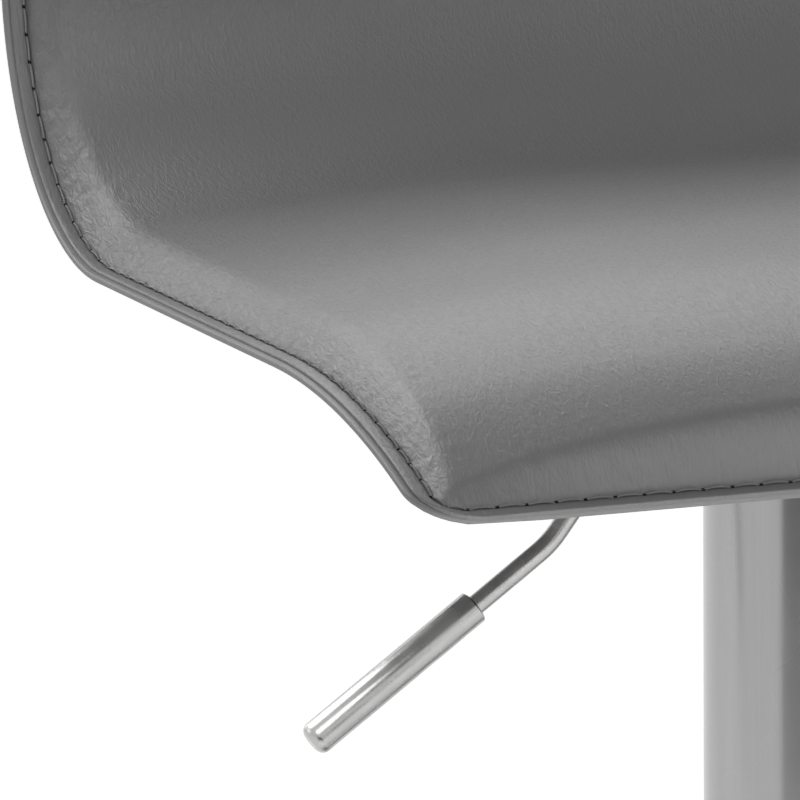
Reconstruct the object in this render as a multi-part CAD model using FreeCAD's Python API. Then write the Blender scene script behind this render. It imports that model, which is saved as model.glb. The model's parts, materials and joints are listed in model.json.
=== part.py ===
"""Height-adjustable swivel stool with an upholstered wave seat on a gas lift.

All sizes are millimetres and all angles are degrees. The stool stands on Z = 0 with the
column's axis on Z. The sitter faces -Y, and the release lever is at the sitter's right, on -X.
The seat is drawn at its lowest position.
"""
import FreeCAD
import Part

import math
import os

Vector = FreeCAD.Vector
X = Vector(1, 0, 0)
Y = Vector(0, 1, 0)
Z = Vector(0, 0, 1)

# Clearances
weld_gap = 0.05          # between pieces that are pressed or welded together
layer_gap = 0.3          # between the layers of the seat
running_gap = 0.06       # radial, on shafts and pins that turn or slide
overrun = 2.0            # how far cutting shapes run past what they cut
quarter_turn = 90.0

# Seat outline, measured on the lower face of the sewn edge
crest_height = 586.0     # floor to the top of the wave's front crest, seat at its lowest
seat_width = 392.0
front_reach = 190.0      # column axis to the front edge
crest_reach = 69.6       # column axis to the top of the wave's front crest
crest_radius = 308.7
saddle_slope = 1.1       # fall from the crest towards the back
back_radius = 89.3       # sweep from the saddle up into the back
back_reach = 191.0       # column axis to where the back stands upright
curl_radius = 70.0       # the back's top edge curls away from the sitter
curl_angle = 35.0
corner_radius = 20.4

# Seat layers, as heights above the sewn edge's lower face
stitch_margin = 7.0      # edge to the stitch line
lip_thickness = 2.8      # underside cover, whose edge is the lower lip
hem_thickness = 3.0      # folded hem of the top cover
hem_setback = 1.8        # hem's edge, inside the lip's edge
shell_thickness = 6.5
shell_margin = 20.0      # edge of the seat to the edge of the plywood shell
cover_thickness = 1.2    # top cover over the foam
pad_crown = 23.0         # top of the pad above the lip's lower face
pad_end_roll = 28.0      # length over which the pad rolls down at front and back

# Mounting board and seat plate
board_width = 200.0
board_depth = 190.0
board_thickness = 24.0   # under the wave's crest
plate_width = 160.0
plate_depth = 176.0
plate_thickness = 2.5
plate_flange_depth = 17.0
plate_corner_radius = 18.0
rib_width = 9.0
rib_height = 1.6
rib_length = 46.0
bolt_spacing_x = 120.0
bolt_spacing_y = 120.0
bolt_radius = 3.0
bolt_hole_radius = 3.3
bolt_head_radius = 5.2
bolt_head_height = 4.2
bolt_length = 14.0
hex_key_width = 4.0
hex_key_depth = 2.4
insert_wall = 1.2
insert_length = 13.0
board_screw_radius = 2.0
board_screw_head_radius = 4.0
board_screw_grip = 2.0   # how far the screws reach beyond the crest's height
board_screw_inset_x = 9.0
board_screw_inset_y = 24.0

# Gas cylinder and its inner pieces
cylinder_radius = 14.0
cylinder_wall = 1.5
taper_length = 48.0
taper_narrowing = 0.7
gland_height = 18.0
gland_chamfer = 1.5
valve_wall = 1.7         # of the cylinder's top round the valve
valve_height = 46.0
valve_setback = 1.5
stem_radius = 3.0
stem_bore_depth = 20.0
stem_engagement = 14.0
button_head_radius = 4.0
button_head_height = 4.4
button_dome_radius = 9.0

# Taper hub under the plate
hub_wall = 7.0
lever_slot_width = 9.0
lever_slot_depth = 9.0   # below the lever's axis

# Lever
lever_radius = 3.25
lever_rise = 10.0        # cylinder's top to the axis of the lever's level part
lever_headroom = 13.5    # that axis to the plate's lower face
lever_inner_reach = 6.0  # past the column axis
pivot_offset = 9.0       # hub's side to the pivot
lever_knee_reach = 56.5  # where it bends down
lever_knee_radius = 14.0
lever_elbow_reach = 83.5  # where it bends out again, on the handle's line
lever_elbow_radius = 30.0
sleeve_start_reach = 108.2
sleeve_start_drop = 53.2
sleeve_end_reach = 162.2
sleeve_end_drop = 91.5
sleeve_radius = 5.45
sleeve_bore_depth = 52.0
sleeve_tip_radius = 3.0
sleeve_mouth_chamfer = 0.5
pivot_radius = 1.5
bracket_thickness = 2.5
bracket_width = 14.0
bracket_below_pivot = 4.5
pivot_head_radius = 2.6
pivot_head_thickness = 1.2
button_gap = 0.15

# Cover tube that hangs from the hub
cover_tube_wall = 1.5
cover_tube_length = 284.0
cover_collar_height = 20.0
slide_ring_wall = 3.15
slide_ring_height = 14.0
slide_ring_flange = 2.0

# Column tube
column_radius = 25.0
column_wall = 1.5
column_drop = 56.0       # column's top under the cylinder's top, seat at its lowest
column_clearance = 25.9  # from the ballast up to the column's foot, for the rod's end
column_floor_thickness = 4.0
guide_height = 88.0
guide_flange_height = 2.5

# Piston rod and thrust bearing
rod_radius = 5.0
rod_shoulder_width = 1.0
rod_length = 250.0
rod_neck_length = 22.0
race_thickness = 2.0
race_margin = 1.4        # flat ring each side of the balls' groove
ball_radius = 2.0
ball_count = 9
ball_seat_depth = 0.3
bumper_radius = 12.0
bumper_height = 18.0
bumper_waist = 1.6
piston_height = 14.0
piston_land_gap = 0.25
seal_radius = 1.6
clip_groove_depth = 1.0
clip_thickness = 1.5
clip_radius = 7.0
clip_setback = 3.0       # rod's end to the clip
clip_washer_radius = 9.5
clip_mouth = 5.0

# Base
base_radius = 190.0
dome_thickness = 2.0
dome_rim_height = 7.0
dome_shoulder_radius = 8.0
dome_slope = 7.0
dome_flare_radius = 44.0
dome_neck_gap = 0.3
socket_wall = 5.0
socket_height = 72.0
socket_ledge_width = 6.0
socket_ledge_thickness = 4.0
socket_flange_width = 32.0
socket_flange_thickness = 3.0
trim_ring_height = 7.0
trim_ring_wall = 3.2
ballast_gap = 1.0        # ballast's edge to the dome's wall
ballast_thickness = 8.0
ballast_bore_radius = 22.0
ballast_bolt_count = 3
ballast_bolt_head_height = 4.5
floor_ring_width = 16.0
floor_ring_thickness = 4.0
floor_ring_lip = 2.5
floor_ring_lip_height = 8.0
floor_ring_round = 1.2

# Footrest
footrest_gap = 11.0      # cover tube's foot to the footrest's collar
footrest_tube_radius = 9.5
footrest_tube_wall = 1.5
footrest_front_reach = 172.0
footrest_front_half = 78.0
footrest_side_reach = 82.0
footrest_side_half = 132.0
footrest_side_bend = 42.0
footrest_front_bend = 62.0
footrest_root_reach = 12.0
collar_wall = 4.5
collar_height = 34.0
collar_slit = 3.0
ear_length = 15.0
ear_width = 8.0
ear_screw_radius = 2.5
ear_screw_head_radius = 4.2
ear_screw_head_height = 3.6
ear_screw_offset = 9.0
ear_nut_radius = 4.4
ear_nut_height = 4.0

# Heights and radii that follow, up from the floor and down from the seat
ring_seat = floor_ring_thickness + weld_gap
ballast_top = ring_seat + ballast_thickness
ballast_radius = base_radius - dome_thickness - ballast_gap
ballast_head_top = ring_seat + ballast_bolt_head_height
socket_bottom = ballast_top + weld_gap
socket_top = socket_bottom + socket_height
socket_radius = column_radius + weld_gap + socket_wall
socket_flange_radius = socket_radius + socket_flange_width
ballast_bolt_circle = (socket_radius + socket_flange_radius) / 2
ballast_nut_bottom = socket_bottom + socket_flange_thickness + weld_gap
column_bottom = socket_bottom + column_clearance
rod_neck_radius = rod_radius - rod_shoulder_width
race_bottom = column_bottom + column_floor_thickness
ball_pitch_radius = rod_neck_radius + running_gap + race_margin + ball_radius
race_radius = ball_pitch_radius + ball_radius + race_margin
ball_centre = race_bottom + race_thickness - ball_seat_depth + ball_radius + layer_gap / 2
upper_race_bottom = ball_centre + ball_radius + layer_gap / 2 - ball_seat_depth
rod_shoulder = upper_race_bottom + race_thickness
rod_bottom = rod_shoulder - rod_neck_length
rod_top = rod_shoulder + rod_length
clip_top = rod_bottom + clip_setback + clip_thickness
bumper_bottom = rod_shoulder + weld_gap
cylinder_bottom = bumper_bottom + bumper_height + layer_gap
board_underside = crest_height - board_thickness
board_screw_top = crest_height + board_screw_grip
hub_top = board_underside - plate_thickness
lever_height = hub_top - lever_headroom
cylinder_top = lever_height - lever_rise
column_top = cylinder_top - column_drop
cylinder_bore_radius = cylinder_radius - cylinder_wall
taper_top_radius = cylinder_radius - taper_narrowing
valve_bore_radius = taper_top_radius - valve_wall
valve_top = cylinder_top - valve_setback
piston_radius = cylinder_bore_radius - piston_land_gap
seal_height = rod_top + piston_height / 2
hub_bottom = cylinder_top - taper_length
hub_radius = cylinder_radius + hub_wall
lever_pivot_reach = hub_radius + pivot_offset
button_top = lever_height - lever_radius - button_gap
button_head_bottom = button_top - button_head_height
insert_radius = bolt_radius + insert_wall
cover_tube_radius = column_radius + layer_gap + slide_ring_wall + weld_gap + cover_tube_wall
cover_tube_top = cylinder_top
cover_tube_bottom = cover_tube_top - cover_tube_length
collar_top = cover_tube_bottom - slide_ring_flange - footrest_gap
collar_bottom = collar_top - collar_height
footrest_height = collar_top - collar_height / 2


def point(x, y, z):
    return Vector(x, y, z)


def rod(radius, bottom, top, x=0, y=0):
    """Upright solid cylinder between two heights."""
    return Part.makeCylinder(radius, top - bottom, point(x, y, bottom))


def ring(inner, outer, bottom, top, x=0, y=0):
    """Upright tube between two heights."""
    return rod(outer, bottom, top, x, y).cut(rod(inner, bottom - overrun, top + overrun, x, y))


def block(x0, x1, y0, y1, z0, z1):
    return Part.makeBox(x1 - x0, y1 - y0, z1 - z0, point(x0, y0, z0))


def joined(shapes):
    """Shapes fused into one, with the seams between coplanar faces removed."""
    whole = shapes[0].multiFuse(shapes[1:]) if len(shapes) > 1 else shapes[0]
    return whole.removeSplitter()


def revolved(points_rz):
    """Solid turned about Z from a closed polygon of (radius, height) corners."""
    corners = [point(r, 0, z) for r, z in points_rz]
    face = Part.Face(Part.makePolygon(corners + corners[:1]))
    return face.revolve(Vector(), Z, 360)


def heading(angle):
    """Unit vector in a flat (across, up) drawing, and its left-hand normal."""
    a = math.radians(angle)
    return (math.cos(a), math.sin(a)), (-math.sin(a), math.cos(a))


def trace(start, angle, legs, offset, place):
    """Edges of a line of runs and tangent bends, drawn 'offset' to the left of the base line.

    A leg is ('run', length) or ('bend', radius, turn), where a left turn is positive.
    'place' turns the flat (across, up) pair into a point in space.
    """
    _, normal = heading(angle)
    here = (start[0] + offset * normal[0], start[1] + offset * normal[1])
    edges = []
    for leg in legs:
        along, normal = heading(angle)
        if leg[0] == "run":
            there = (here[0] + leg[1] * along[0], here[1] + leg[1] * along[1])
            edges.append(Part.makeLine(place(*here), place(*there)))
        else:
            side = math.copysign(1, leg[2])
            radius = leg[1] - side * offset
            centre = (here[0] + side * radius * normal[0], here[1] + side * radius * normal[1])
            stops = []
            for share in (0.5, 1):
                _, turned = heading(angle + leg[2] * share)
                stops.append((centre[0] - side * radius * turned[0],
                              centre[1] - side * radius * turned[1]))
            there = stops[1]
            edges.append(Part.Arc(place(*here), place(*stops[0]), place(*there)).toShape())
            angle += leg[2]
        here = there
    return edges, here, angle


def bent_line(points, radii):
    """Wire through the points, with an arc of the given radius at each inner point."""
    edges = []
    here = points[0]
    for before, corner, after, radius in zip(points, points[1:], points[2:], radii):
        back = (before - corner).normalize()
        ahead = (after - corner).normalize()
        half = back.getAngle(ahead) / 2
        cut = radius / math.tan(half)
        arc_start = corner + back * cut
        arc_end = corner + ahead * cut
        bisector = (back + ahead).normalize()
        middle = corner + bisector * (radius / math.sin(half) - radius)
        edges.append(Part.makeLine(here, arc_start))
        edges.append(Part.Arc(arc_start, middle, arc_end).toShape())
        here = arc_end
    edges.append(Part.makeLine(here, points[-1]))
    return Part.Wire(edges)


def swept(radius, wire):
    """Round bar of a radius along a wire."""
    first = wire.OrderedEdges[0]
    start = first.valueAt(first.FirstParameter)
    circle = Part.Wire(Part.makeCircle(radius, start, first.tangentAt(first.FirstParameter)))
    return wire.makePipeShell([circle], True, False)


# The seat's wave, as one line seen from the side: front crest, saddle, sweep and curl

front_slope = math.degrees(math.asin((front_reach - crest_reach) / crest_radius))
slope_sine = math.sin(math.radians(saddle_slope))
slope_cosine = math.cos(math.radians(saddle_slope))
saddle_length = (back_reach + crest_reach - crest_radius * slope_sine
                 - back_radius * (1 + slope_sine)) / slope_cosine
hem_bottom = lip_thickness + weld_gap
hem_top = hem_bottom + hem_thickness
pad_bottom = lip_thickness + layer_gap
shell_bottom = pad_bottom
shell_top = shell_bottom + shell_thickness


def side_view(x):
    """Places a (depth, height) pair in the upright plane at a given X."""
    return lambda y, z: point(x, y, z)


def wave(level, margin, x):
    """Edges of the wave line at a level above the sewn edge, stopping short of both ends."""
    front_trim = math.degrees(margin / crest_radius)
    curl_trim = math.degrees(margin / curl_radius)
    legs = [("bend", crest_radius, -(front_slope - front_trim) - saddle_slope),
            ("run", saddle_length),
            ("bend", back_radius, quarter_turn + saddle_slope),
            ("bend", curl_radius, -(curl_angle - curl_trim))]
    angle = front_slope - front_trim
    _, normal = heading(angle)
    start = (-crest_reach + crest_radius * normal[0],
             crest_height - crest_radius + crest_radius * normal[1])
    edges, end, end_angle = trace(start, angle, legs, level, side_view(x))
    return edges, start, angle, end, end_angle


def edge_ends(edges):
    """First and last point of a row of connected edges."""
    return (edges[0].valueAt(edges[0].FirstParameter),
            edges[-1].valueAt(edges[-1].LastParameter))


def corner_cutters(margin, low, high):
    """Four shapes that round the corners of a seat layer, square to its surface."""
    radius = corner_radius - min(margin, corner_radius / 2)
    half = seat_width / 2 - margin
    inset = radius - weld_gap
    edges, _, angle, _, end_angle = wave(0, margin, 0)
    start, end = edge_ends(edges)
    cutters = []
    for anchor, turn, inward in ((start, angle, 1), (end, end_angle, -1)):
        along, normal = heading(turn)
        along = point(0, inward * along[0], inward * along[1])
        normal = point(0, normal[0], normal[1])
        for side in (-1, 1):
            out = X * side
            hub = anchor + out * (half - inset) + along * inset
            foot = [hub + out * radius, hub - along * radius]
            bow = hub + (out - along) * (radius * math.sqrt(0.5))
            outer = [foot[0] + out * overrun, foot[1] - along * overrun]
            tip = anchor + (out * (half + overrun)) - along * overrun
            wire = Part.Wire([Part.makeLine(tip, outer[0]), Part.makeLine(outer[0], foot[0]),
                              Part.Arc(foot[0], bow, foot[1]).toShape(),
                              Part.makeLine(foot[1], outer[1]), Part.makeLine(outer[1], tip)])
            face = Part.Face(wire)
            face.translate(normal * (low - radius))
            cutters.append(face.extrude(normal * (high - low + 2 * radius)))
    return cutters


def layer(low, high, margin):
    """A slab of the seat between two levels, in from the seat's edge by a margin."""
    half = seat_width / 2 - margin
    under = wave(low, margin, -half)[0]
    over = wave(high, margin, -half)[0]
    low_front, low_back = edge_ends(under)
    high_front, high_back = edge_ends(over)
    wire = Part.Wire(under + [Part.makeLine(low_back, high_back)]
                     + list(reversed(over)) + [Part.makeLine(high_front, low_front)])
    slab = Part.Face(wire).extrude(X * (2 * half))
    return slab.cut(corner_cutters(margin, low, high))


def pad_section(x, bottom, top_level, inset):
    """Closed outline of the pad at one place across the seat, drawn in by an inset."""
    start_margin = stitch_margin + inset
    bulge_share = 0.3
    bulge_height_share = 0.72
    bulge_level = bottom + (top_level - bottom) * bulge_height_share
    under = wave(bottom, start_margin, x)[0]
    over = wave(top_level, start_margin + pad_end_roll, x)[0]
    shoulder = wave(bulge_level, start_margin + pad_end_roll * bulge_share, x)[0]
    low_front, low_back = edge_ends(under)
    high_front, high_back = edge_ends(over)
    bulge_front, bulge_back = edge_ends(shoulder)
    edges = under + [Part.Arc(low_back, bulge_back, high_back).toShape()]
    edges += list(reversed(over)) + [Part.Arc(high_front, bulge_front, low_front).toShape()]
    return Part.Wire(edges)


def pad_body(bottom, inset):
    """Crowned body whose sides roll down to the stitch line, open to no recess yet."""
    half = seat_width / 2 - stitch_margin - inset
    side_shares = ((1, 0.12), (0.993, 0.25), (0.98, 0.39), (0.955, 0.56), (0.92, 0.71),
                   (0.87, 0.83), (0.80, 0.92), (0.70, 0.965), (0.50, 0.99), (0, 1))
    stations = [(-place, rise) for place, rise in side_shares]
    stations += [(place, rise) for place, rise in reversed(side_shares[:-1])]
    sections = []
    for place, rise in stations:
        level = pad_bottom + (pad_crown - pad_bottom) * rise - inset
        sections.append(pad_section(place * half, bottom, level, inset))
    body = Part.makeLoft(sections, True, True)
    return body.cut(corner_cutters(stitch_margin + inset, bottom, pad_crown))


def shell_recess():
    """Space in the pad's lower side for the plywood shell."""
    return layer(pad_bottom - overrun, shell_top + layer_gap, shell_margin - layer_gap)


def foam_pad():
    """Foam under the top cover, moulded round the shell's edge."""
    below = layer(pad_bottom - 2 * overrun, pad_bottom, stitch_margin - overrun)
    body = pad_body(pad_bottom - overrun, cover_thickness + layer_gap)
    return body.cut(below).cut(shell_recess())


def top_cover():
    """Upholstery skin over the foam, down to the stitch line."""
    return pad_body(pad_bottom, 0).cut(pad_body(pad_bottom - overrun, cover_thickness))


def edge_hem():
    """Folded hem of the top cover, a flat border outside the stitch line."""
    return layer(hem_bottom, hem_top, hem_setback).cut(
        layer(hem_bottom - overrun, hem_top + overrun, stitch_margin - layer_gap))


def bolt_places():
    for sx in (-1, 1):
        for sy in (-1, 1):
            yield sx * bolt_spacing_x / 2, sy * bolt_spacing_y / 2


def board_screw_places():
    for sx in (-1, 1):
        for sy in (-1, 1):
            yield (sx * (board_width / 2 - board_screw_inset_x),
                   sy * (board_depth / 2 - board_screw_inset_y))


def bored(shape, places, radius, bottom, top):
    """Shape with an upright hole at each of the places."""
    return shape.cut([rod(radius, bottom, top, x, y) for x, y in places])


def screw_bored(shape):
    """Shape with the holes of the screws that hold the board to the shell."""
    return bored(shape, board_screw_places(), board_screw_radius + weld_gap,
                 board_underside - overrun, board_screw_top + layer_gap)


def underside_cover():
    """Bottom cover, whose edge is sewn to the top cover's hem."""
    return screw_bored(layer(0, lip_thickness, 0))


def seat_shell():
    """Moulded plywood shell inside the upholstery."""
    return screw_bored(layer(shell_bottom, shell_top, shell_margin))


def mounting_board():
    """Board between the wave shell and the flat plate, with its upper face cut to the wave."""
    depth = crest_height - board_underside
    under = layer(-2 * depth, -layer_gap, shell_margin)
    board = block(-board_width / 2, board_width / 2, -board_depth / 2, board_depth / 2,
                  board_underside, crest_height)
    upright = [edge for edge in board.Edges if abs(edge.tangentAt(0).z) > 0.5]
    board = screw_bored(board.makeFillet(plate_corner_radius, upright).common(under))
    board = board.cut([countersink(x, y, weld_gap) for x, y in board_screw_places()])
    return bored(board, bolt_places(), insert_radius + weld_gap, board_underside - overrun,
                 board_underside + insert_length + layer_gap)


def countersink(x, y, gap):
    """Cone of a flat screw head in the board's lower face."""
    depth = board_screw_head_radius - board_screw_radius
    return Part.makeCone(board_screw_head_radius + gap, board_screw_radius + gap, depth,
                         point(x, y, board_underside))


def board_screw(x, y):
    """Flat-headed wood screw up through the board and the bottom cover into the shell."""
    depth = board_screw_head_radius - board_screw_radius
    shank = rod(board_screw_radius, board_underside + depth, board_screw_top, x, y)
    slot = block(x - board_screw_head_radius, x + board_screw_head_radius, y - depth / 4, y + depth / 4,
                 board_underside, board_underside + depth / 2)
    return joined([countersink(x, y, 0), shank]).cut(slot)


def threaded_insert(x, y):
    """Metal insert in the board, for one seat bolt."""
    return ring(bolt_radius, insert_radius, board_underside, board_underside + insert_length, x, y)


def seat_bolt(x, y):
    """Socket-head bolt up through the plate into its barrel nut."""
    underside = board_underside - plate_thickness
    shank = rod(bolt_radius - running_gap, underside, underside + bolt_length, x, y)
    head = rod(bolt_head_radius, underside - bolt_head_height, underside, x, y)
    socket = Part.Face(Part.makePolygon([
        point(x + hex_key_width / math.sqrt(3) * math.cos(math.radians(60 * i)),
              y + hex_key_width / math.sqrt(3) * math.sin(math.radians(60 * i)),
              underside - bolt_head_height) for i in range(7)]))
    return shank.fuse(head).cut(socket.extrude(Z * hex_key_depth))


def seat_plate():
    """Pressed plate with down-turned front and rear flanges and four stiffening ribs."""
    top = board_underside
    low = top - plate_thickness
    half_w = plate_width / 2
    half_d = plate_depth / 2
    sheet = block(-half_w, half_w, -half_d, half_d, low, top)
    upright = [edge for edge in sheet.Edges if abs(edge.tangentAt(0).z) > 0.5]
    pieces = [sheet.makeFillet(plate_corner_radius, upright)]
    flange_half = half_w - plate_corner_radius
    for side in (-1, 1):
        outer = side * half_d
        inner = side * (half_d - plate_thickness)
        pieces.append(block(-flange_half, flange_half, min(outer, inner), max(outer, inner),
                            top - plate_flange_depth, top))
    for turn in (45, 135, 225, 315):
        start = hub_radius + plate_thickness
        rib = block(start, start + rib_length, -rib_width / 2, rib_width / 2,
                    low - rib_height, low)
        long_edges = [edge for edge in rib.Edges
                      if abs(edge.tangentAt(0).z) < 0.5 and edge.BoundBox.ZMax < low - rib_height / 2]
        rib = rib.makeChamfer(rib_height / 2, long_edges)
        rib.rotate(Vector(), Z, turn)
        pieces.append(rib)
    return bored(joined(pieces), bolt_places(), bolt_hole_radius, low - rib_height - overrun,
                 top + overrun)


def taper_hub():
    """Thick tube welded under the plate, with a tapered bore for the gas cylinder."""
    body = rod(hub_radius, hub_bottom, hub_top)
    taper = Part.makeCone(cylinder_radius + weld_gap, taper_top_radius + weld_gap,
                          cylinder_top - hub_bottom, point(0, 0, hub_bottom))
    lead = rod(cylinder_radius + weld_gap, hub_bottom - overrun, hub_bottom)
    bore = rod(taper_top_radius + weld_gap, cylinder_top, hub_top + overrun)
    slot = block(-hub_radius - overrun, 0, -lever_slot_width / 2, lever_slot_width / 2,
                 lever_height - lever_slot_depth, hub_top + overrun)
    return body.cut([taper, lead, bore, slot])


def lever_bracket():
    """Two ears welded under the plate outside the hub, which carry the lever's pivot."""
    ears = []
    inner = lever_radius + layer_gap
    for side in (-1, 1):
        y0, y1 = sorted((side * inner, side * (inner + bracket_thickness)))
        ear = block(-lever_pivot_reach - bracket_width / 2, -lever_pivot_reach + bracket_width / 2,
                    y0, y1, lever_height - bracket_below_pivot, hub_top - weld_gap)
        lower = [edge for edge in ear.Edges
                 if abs(edge.tangentAt(0).y) > 0.5 and edge.BoundBox.ZMax < lever_height]
        ears.append(ear.makeFillet(bracket_below_pivot / 2, lower))
    ears = ears[0].fuse(ears[1])
    ears = ears.cut(rod(hub_radius + weld_gap, hub_bottom, hub_top + overrun))
    return ears.cut(cross_pin(pivot_radius + weld_gap, bracket_width))


def cross_pin(radius, half_length):
    """Round bar along Y on the lever's pivot."""
    return Part.makeCylinder(radius, 2 * half_length,
                             point(-lever_pivot_reach, -half_length, lever_height), Y)


def lever_pivot():
    half = lever_radius + layer_gap + bracket_thickness + weld_gap
    pin = cross_pin(pivot_radius, half)
    heads = []
    for side in (-1, 1):
        start = half if side > 0 else -half - pivot_head_thickness
        heads.append(Part.makeCylinder(pivot_head_radius, pivot_head_thickness,
                                       point(-lever_pivot_reach, start, lever_height), Y))
    return joined([pin] + heads)


sleeve_start = point(-sleeve_start_reach, 0, lever_height - sleeve_start_drop)
sleeve_end = point(-sleeve_end_reach, 0, lever_height - sleeve_end_drop)
sleeve_way = (sleeve_end - sleeve_start).normalize()


def lever_line():
    tip = sleeve_start + sleeve_way * sleeve_bore_depth
    elbow = sleeve_start + sleeve_way * ((sleeve_start_reach - lever_elbow_reach) / sleeve_way.x)
    points = [point(lever_inner_reach, 0, lever_height), point(-lever_knee_reach, 0, lever_height),
              elbow, tip]
    return bent_line(points, [lever_knee_radius, lever_elbow_radius])


def lever_rod():
    """Bent rod: level over the valve, down past the plate, then out to the handle."""
    return swept(lever_radius, lever_line()).cut(
        cross_pin(pivot_radius + running_gap, lever_radius + overrun))


def lever_sleeve():
    """Handle: a solid round sleeve with a rounded tip, bored for the rod."""
    length = (sleeve_end - sleeve_start).Length
    handle = Part.makeCylinder(sleeve_radius, length, sleeve_start, sleeve_way)
    tip = [edge for edge in handle.Edges
           if len(edge.Vertexes) == 1 and (edge.CenterOfMass - sleeve_end).Length < sleeve_radius]
    handle = handle.makeFillet(sleeve_tip_radius, tip)
    mouth = [edge for edge in handle.Edges
             if len(edge.Vertexes) == 1 and (edge.CenterOfMass - sleeve_start).Length < sleeve_radius]
    handle = handle.makeChamfer(sleeve_mouth_chamfer, mouth)
    bore = Part.makeCylinder(lever_radius + weld_gap, sleeve_bore_depth + weld_gap + overrun,
                             sleeve_start - sleeve_way * overrun, sleeve_way)
    return handle.cut(bore)


def release_button():
    """Valve button: a domed head on a stem that slides in the valve block."""
    head = rod(button_head_radius, button_head_bottom, button_top)
    dome = Part.makeSphere(button_dome_radius, point(0, 0, button_top - button_dome_radius))
    stem = rod(stem_radius, valve_top - stem_engagement, button_head_bottom + overrun / 2)
    return joined([head.common(dome), stem])


def gas_cylinder():
    """Pressure tube whose upper end is tapered for the hub."""
    tube = rod(cylinder_radius, cylinder_bottom, hub_bottom)
    taper = Part.makeCone(cylinder_radius, taper_top_radius, cylinder_top - hub_bottom,
                          point(0, 0, hub_bottom))
    bore = rod(cylinder_bore_radius, cylinder_bottom - overrun, valve_top - valve_height)
    valve_bore = rod(valve_bore_radius, valve_top - valve_height - overrun, cylinder_top + overrun)
    return tube.fuse(taper).removeSplitter().cut([bore, valve_bore])


def valve_block():
    """Valve body in the cylinder's top, bored for the button's stem."""
    bottom = valve_top - valve_height + weld_gap
    return rod(valve_bore_radius - weld_gap, bottom, valve_top).cut(
        rod(stem_radius + running_gap, valve_top - stem_bore_depth, valve_top + overrun))


def rod_gland():
    """Guide and seal in the cylinder's foot, round the piston rod."""
    gland = ring(rod_radius + running_gap, cylinder_bore_radius - weld_gap,
                 cylinder_bottom + layer_gap, cylinder_bottom + gland_height)
    outer = [edge for edge in gland.Edges
             if edge.BoundBox.ZMax < cylinder_bottom + overrun
             and edge.BoundBox.XMax > cylinder_bore_radius - overrun and len(edge.Vertexes) == 1]
    return gland.makeChamfer(gland_chamfer, outer)


def cover_collar():
    """Plastic collar that wedges the cover tube on the hub."""
    inner = cover_tube_radius - cover_tube_wall - weld_gap
    return ring(hub_radius + weld_gap, inner, cover_tube_top - cover_collar_height, cover_tube_top)


def cover_tube():
    """Brushed outer tube that hides the gas cylinder and slides down over the column."""
    return ring(cover_tube_radius - cover_tube_wall, cover_tube_radius,
                cover_tube_bottom, cover_tube_top)


def slide_ring():
    """Plastic ring in the cover tube's foot, which runs on the column."""
    bottom = cover_tube_bottom
    inner = column_radius + layer_gap
    body = ring(inner, cover_tube_radius - cover_tube_wall - weld_gap, bottom,
                bottom + slide_ring_height)
    brim = ring(inner, cover_tube_radius, bottom - slide_ring_flange, bottom - weld_gap)
    neck = ring(inner, cover_tube_radius - cover_tube_wall - weld_gap, bottom - slide_ring_flange,
                bottom + weld_gap)
    return joined([body, brim, neck])


def column_tube():
    """Column tube with the floor plate that carries the thrust bearing."""
    wall = ring(column_radius - column_wall, column_radius, column_bottom, column_top)
    floor = ring(rod_neck_radius + running_gap, column_radius, column_bottom,
                 column_bottom + column_floor_thickness)
    return joined([wall, floor])


def guide_sleeve():
    """Nylon sleeve in the column's top, in which the cylinder slides and turns."""
    bore = cylinder_radius + running_gap
    outer = column_radius - column_wall - weld_gap
    body = ring(bore, outer, column_top - guide_height, column_top)
    brim = ring(bore, column_radius - layer_gap, column_top + weld_gap,
                column_top + guide_flange_height)
    neck = ring(bore, outer, column_top - overrun, column_top + guide_flange_height)
    return joined([body, brim, neck])


def raceway(bottom):
    """Grooved washer of the thrust bearing."""
    groove = Part.makeTorus(ball_pitch_radius, ball_radius + layer_gap / 2,
                            point(0, 0, ball_centre))
    washer = ring(rod_neck_radius + running_gap, race_radius, bottom, bottom + race_thickness)
    return washer.cut(groove)


def bearing_balls():
    """Ring of balls between the two races."""
    balls = []
    for i in range(ball_count):
        turn = 2 * math.pi * i / ball_count
        balls.append(Part.makeSphere(ball_radius, point(ball_pitch_radius * math.cos(turn),
                                                        ball_pitch_radius * math.sin(turn),
                                                        ball_centre)))
    return Part.makeCompound(balls)


def piston_rod():
    """Rod that stands on the bearing, with a neck and a clip groove below it."""
    shaft = rod(rod_radius, rod_shoulder, rod_top)
    neck = rod(rod_neck_radius, rod_bottom, rod_shoulder)
    groove = ring(rod_neck_radius - clip_groove_depth, rod_neck_radius + overrun,
                  clip_top - clip_thickness - weld_gap, clip_top + weld_gap)
    return joined([shaft, neck]).cut(groove)


def rod_clip():
    """Open clip in the rod's groove, and so under the washer."""
    clip = ring(rod_neck_radius - clip_groove_depth + weld_gap, clip_radius,
                clip_top - clip_thickness, clip_top)
    mouth = block(0, clip_radius + overrun, -clip_mouth / 2, clip_mouth / 2,
                  clip_top - clip_thickness - overrun, clip_top + overrun)
    return clip.cut(mouth)


def clip_washer():
    """Washer between the clip and the column's floor plate."""
    return ring(rod_neck_radius + running_gap, clip_washer_radius, clip_top + weld_gap,
                column_bottom - weld_gap)


def lift_bumper():
    """Rubber bumper on the rod, on which the cylinder comes to rest."""
    top = bumper_bottom + bumper_height
    middle = bumper_bottom + bumper_height / 2
    inner = rod_radius + weld_gap
    waist = bumper_radius - bumper_waist
    return revolved([(inner, bumper_bottom), (bumper_radius, bumper_bottom), (waist, middle),
                     (bumper_radius, top), (inner, top)])


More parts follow.
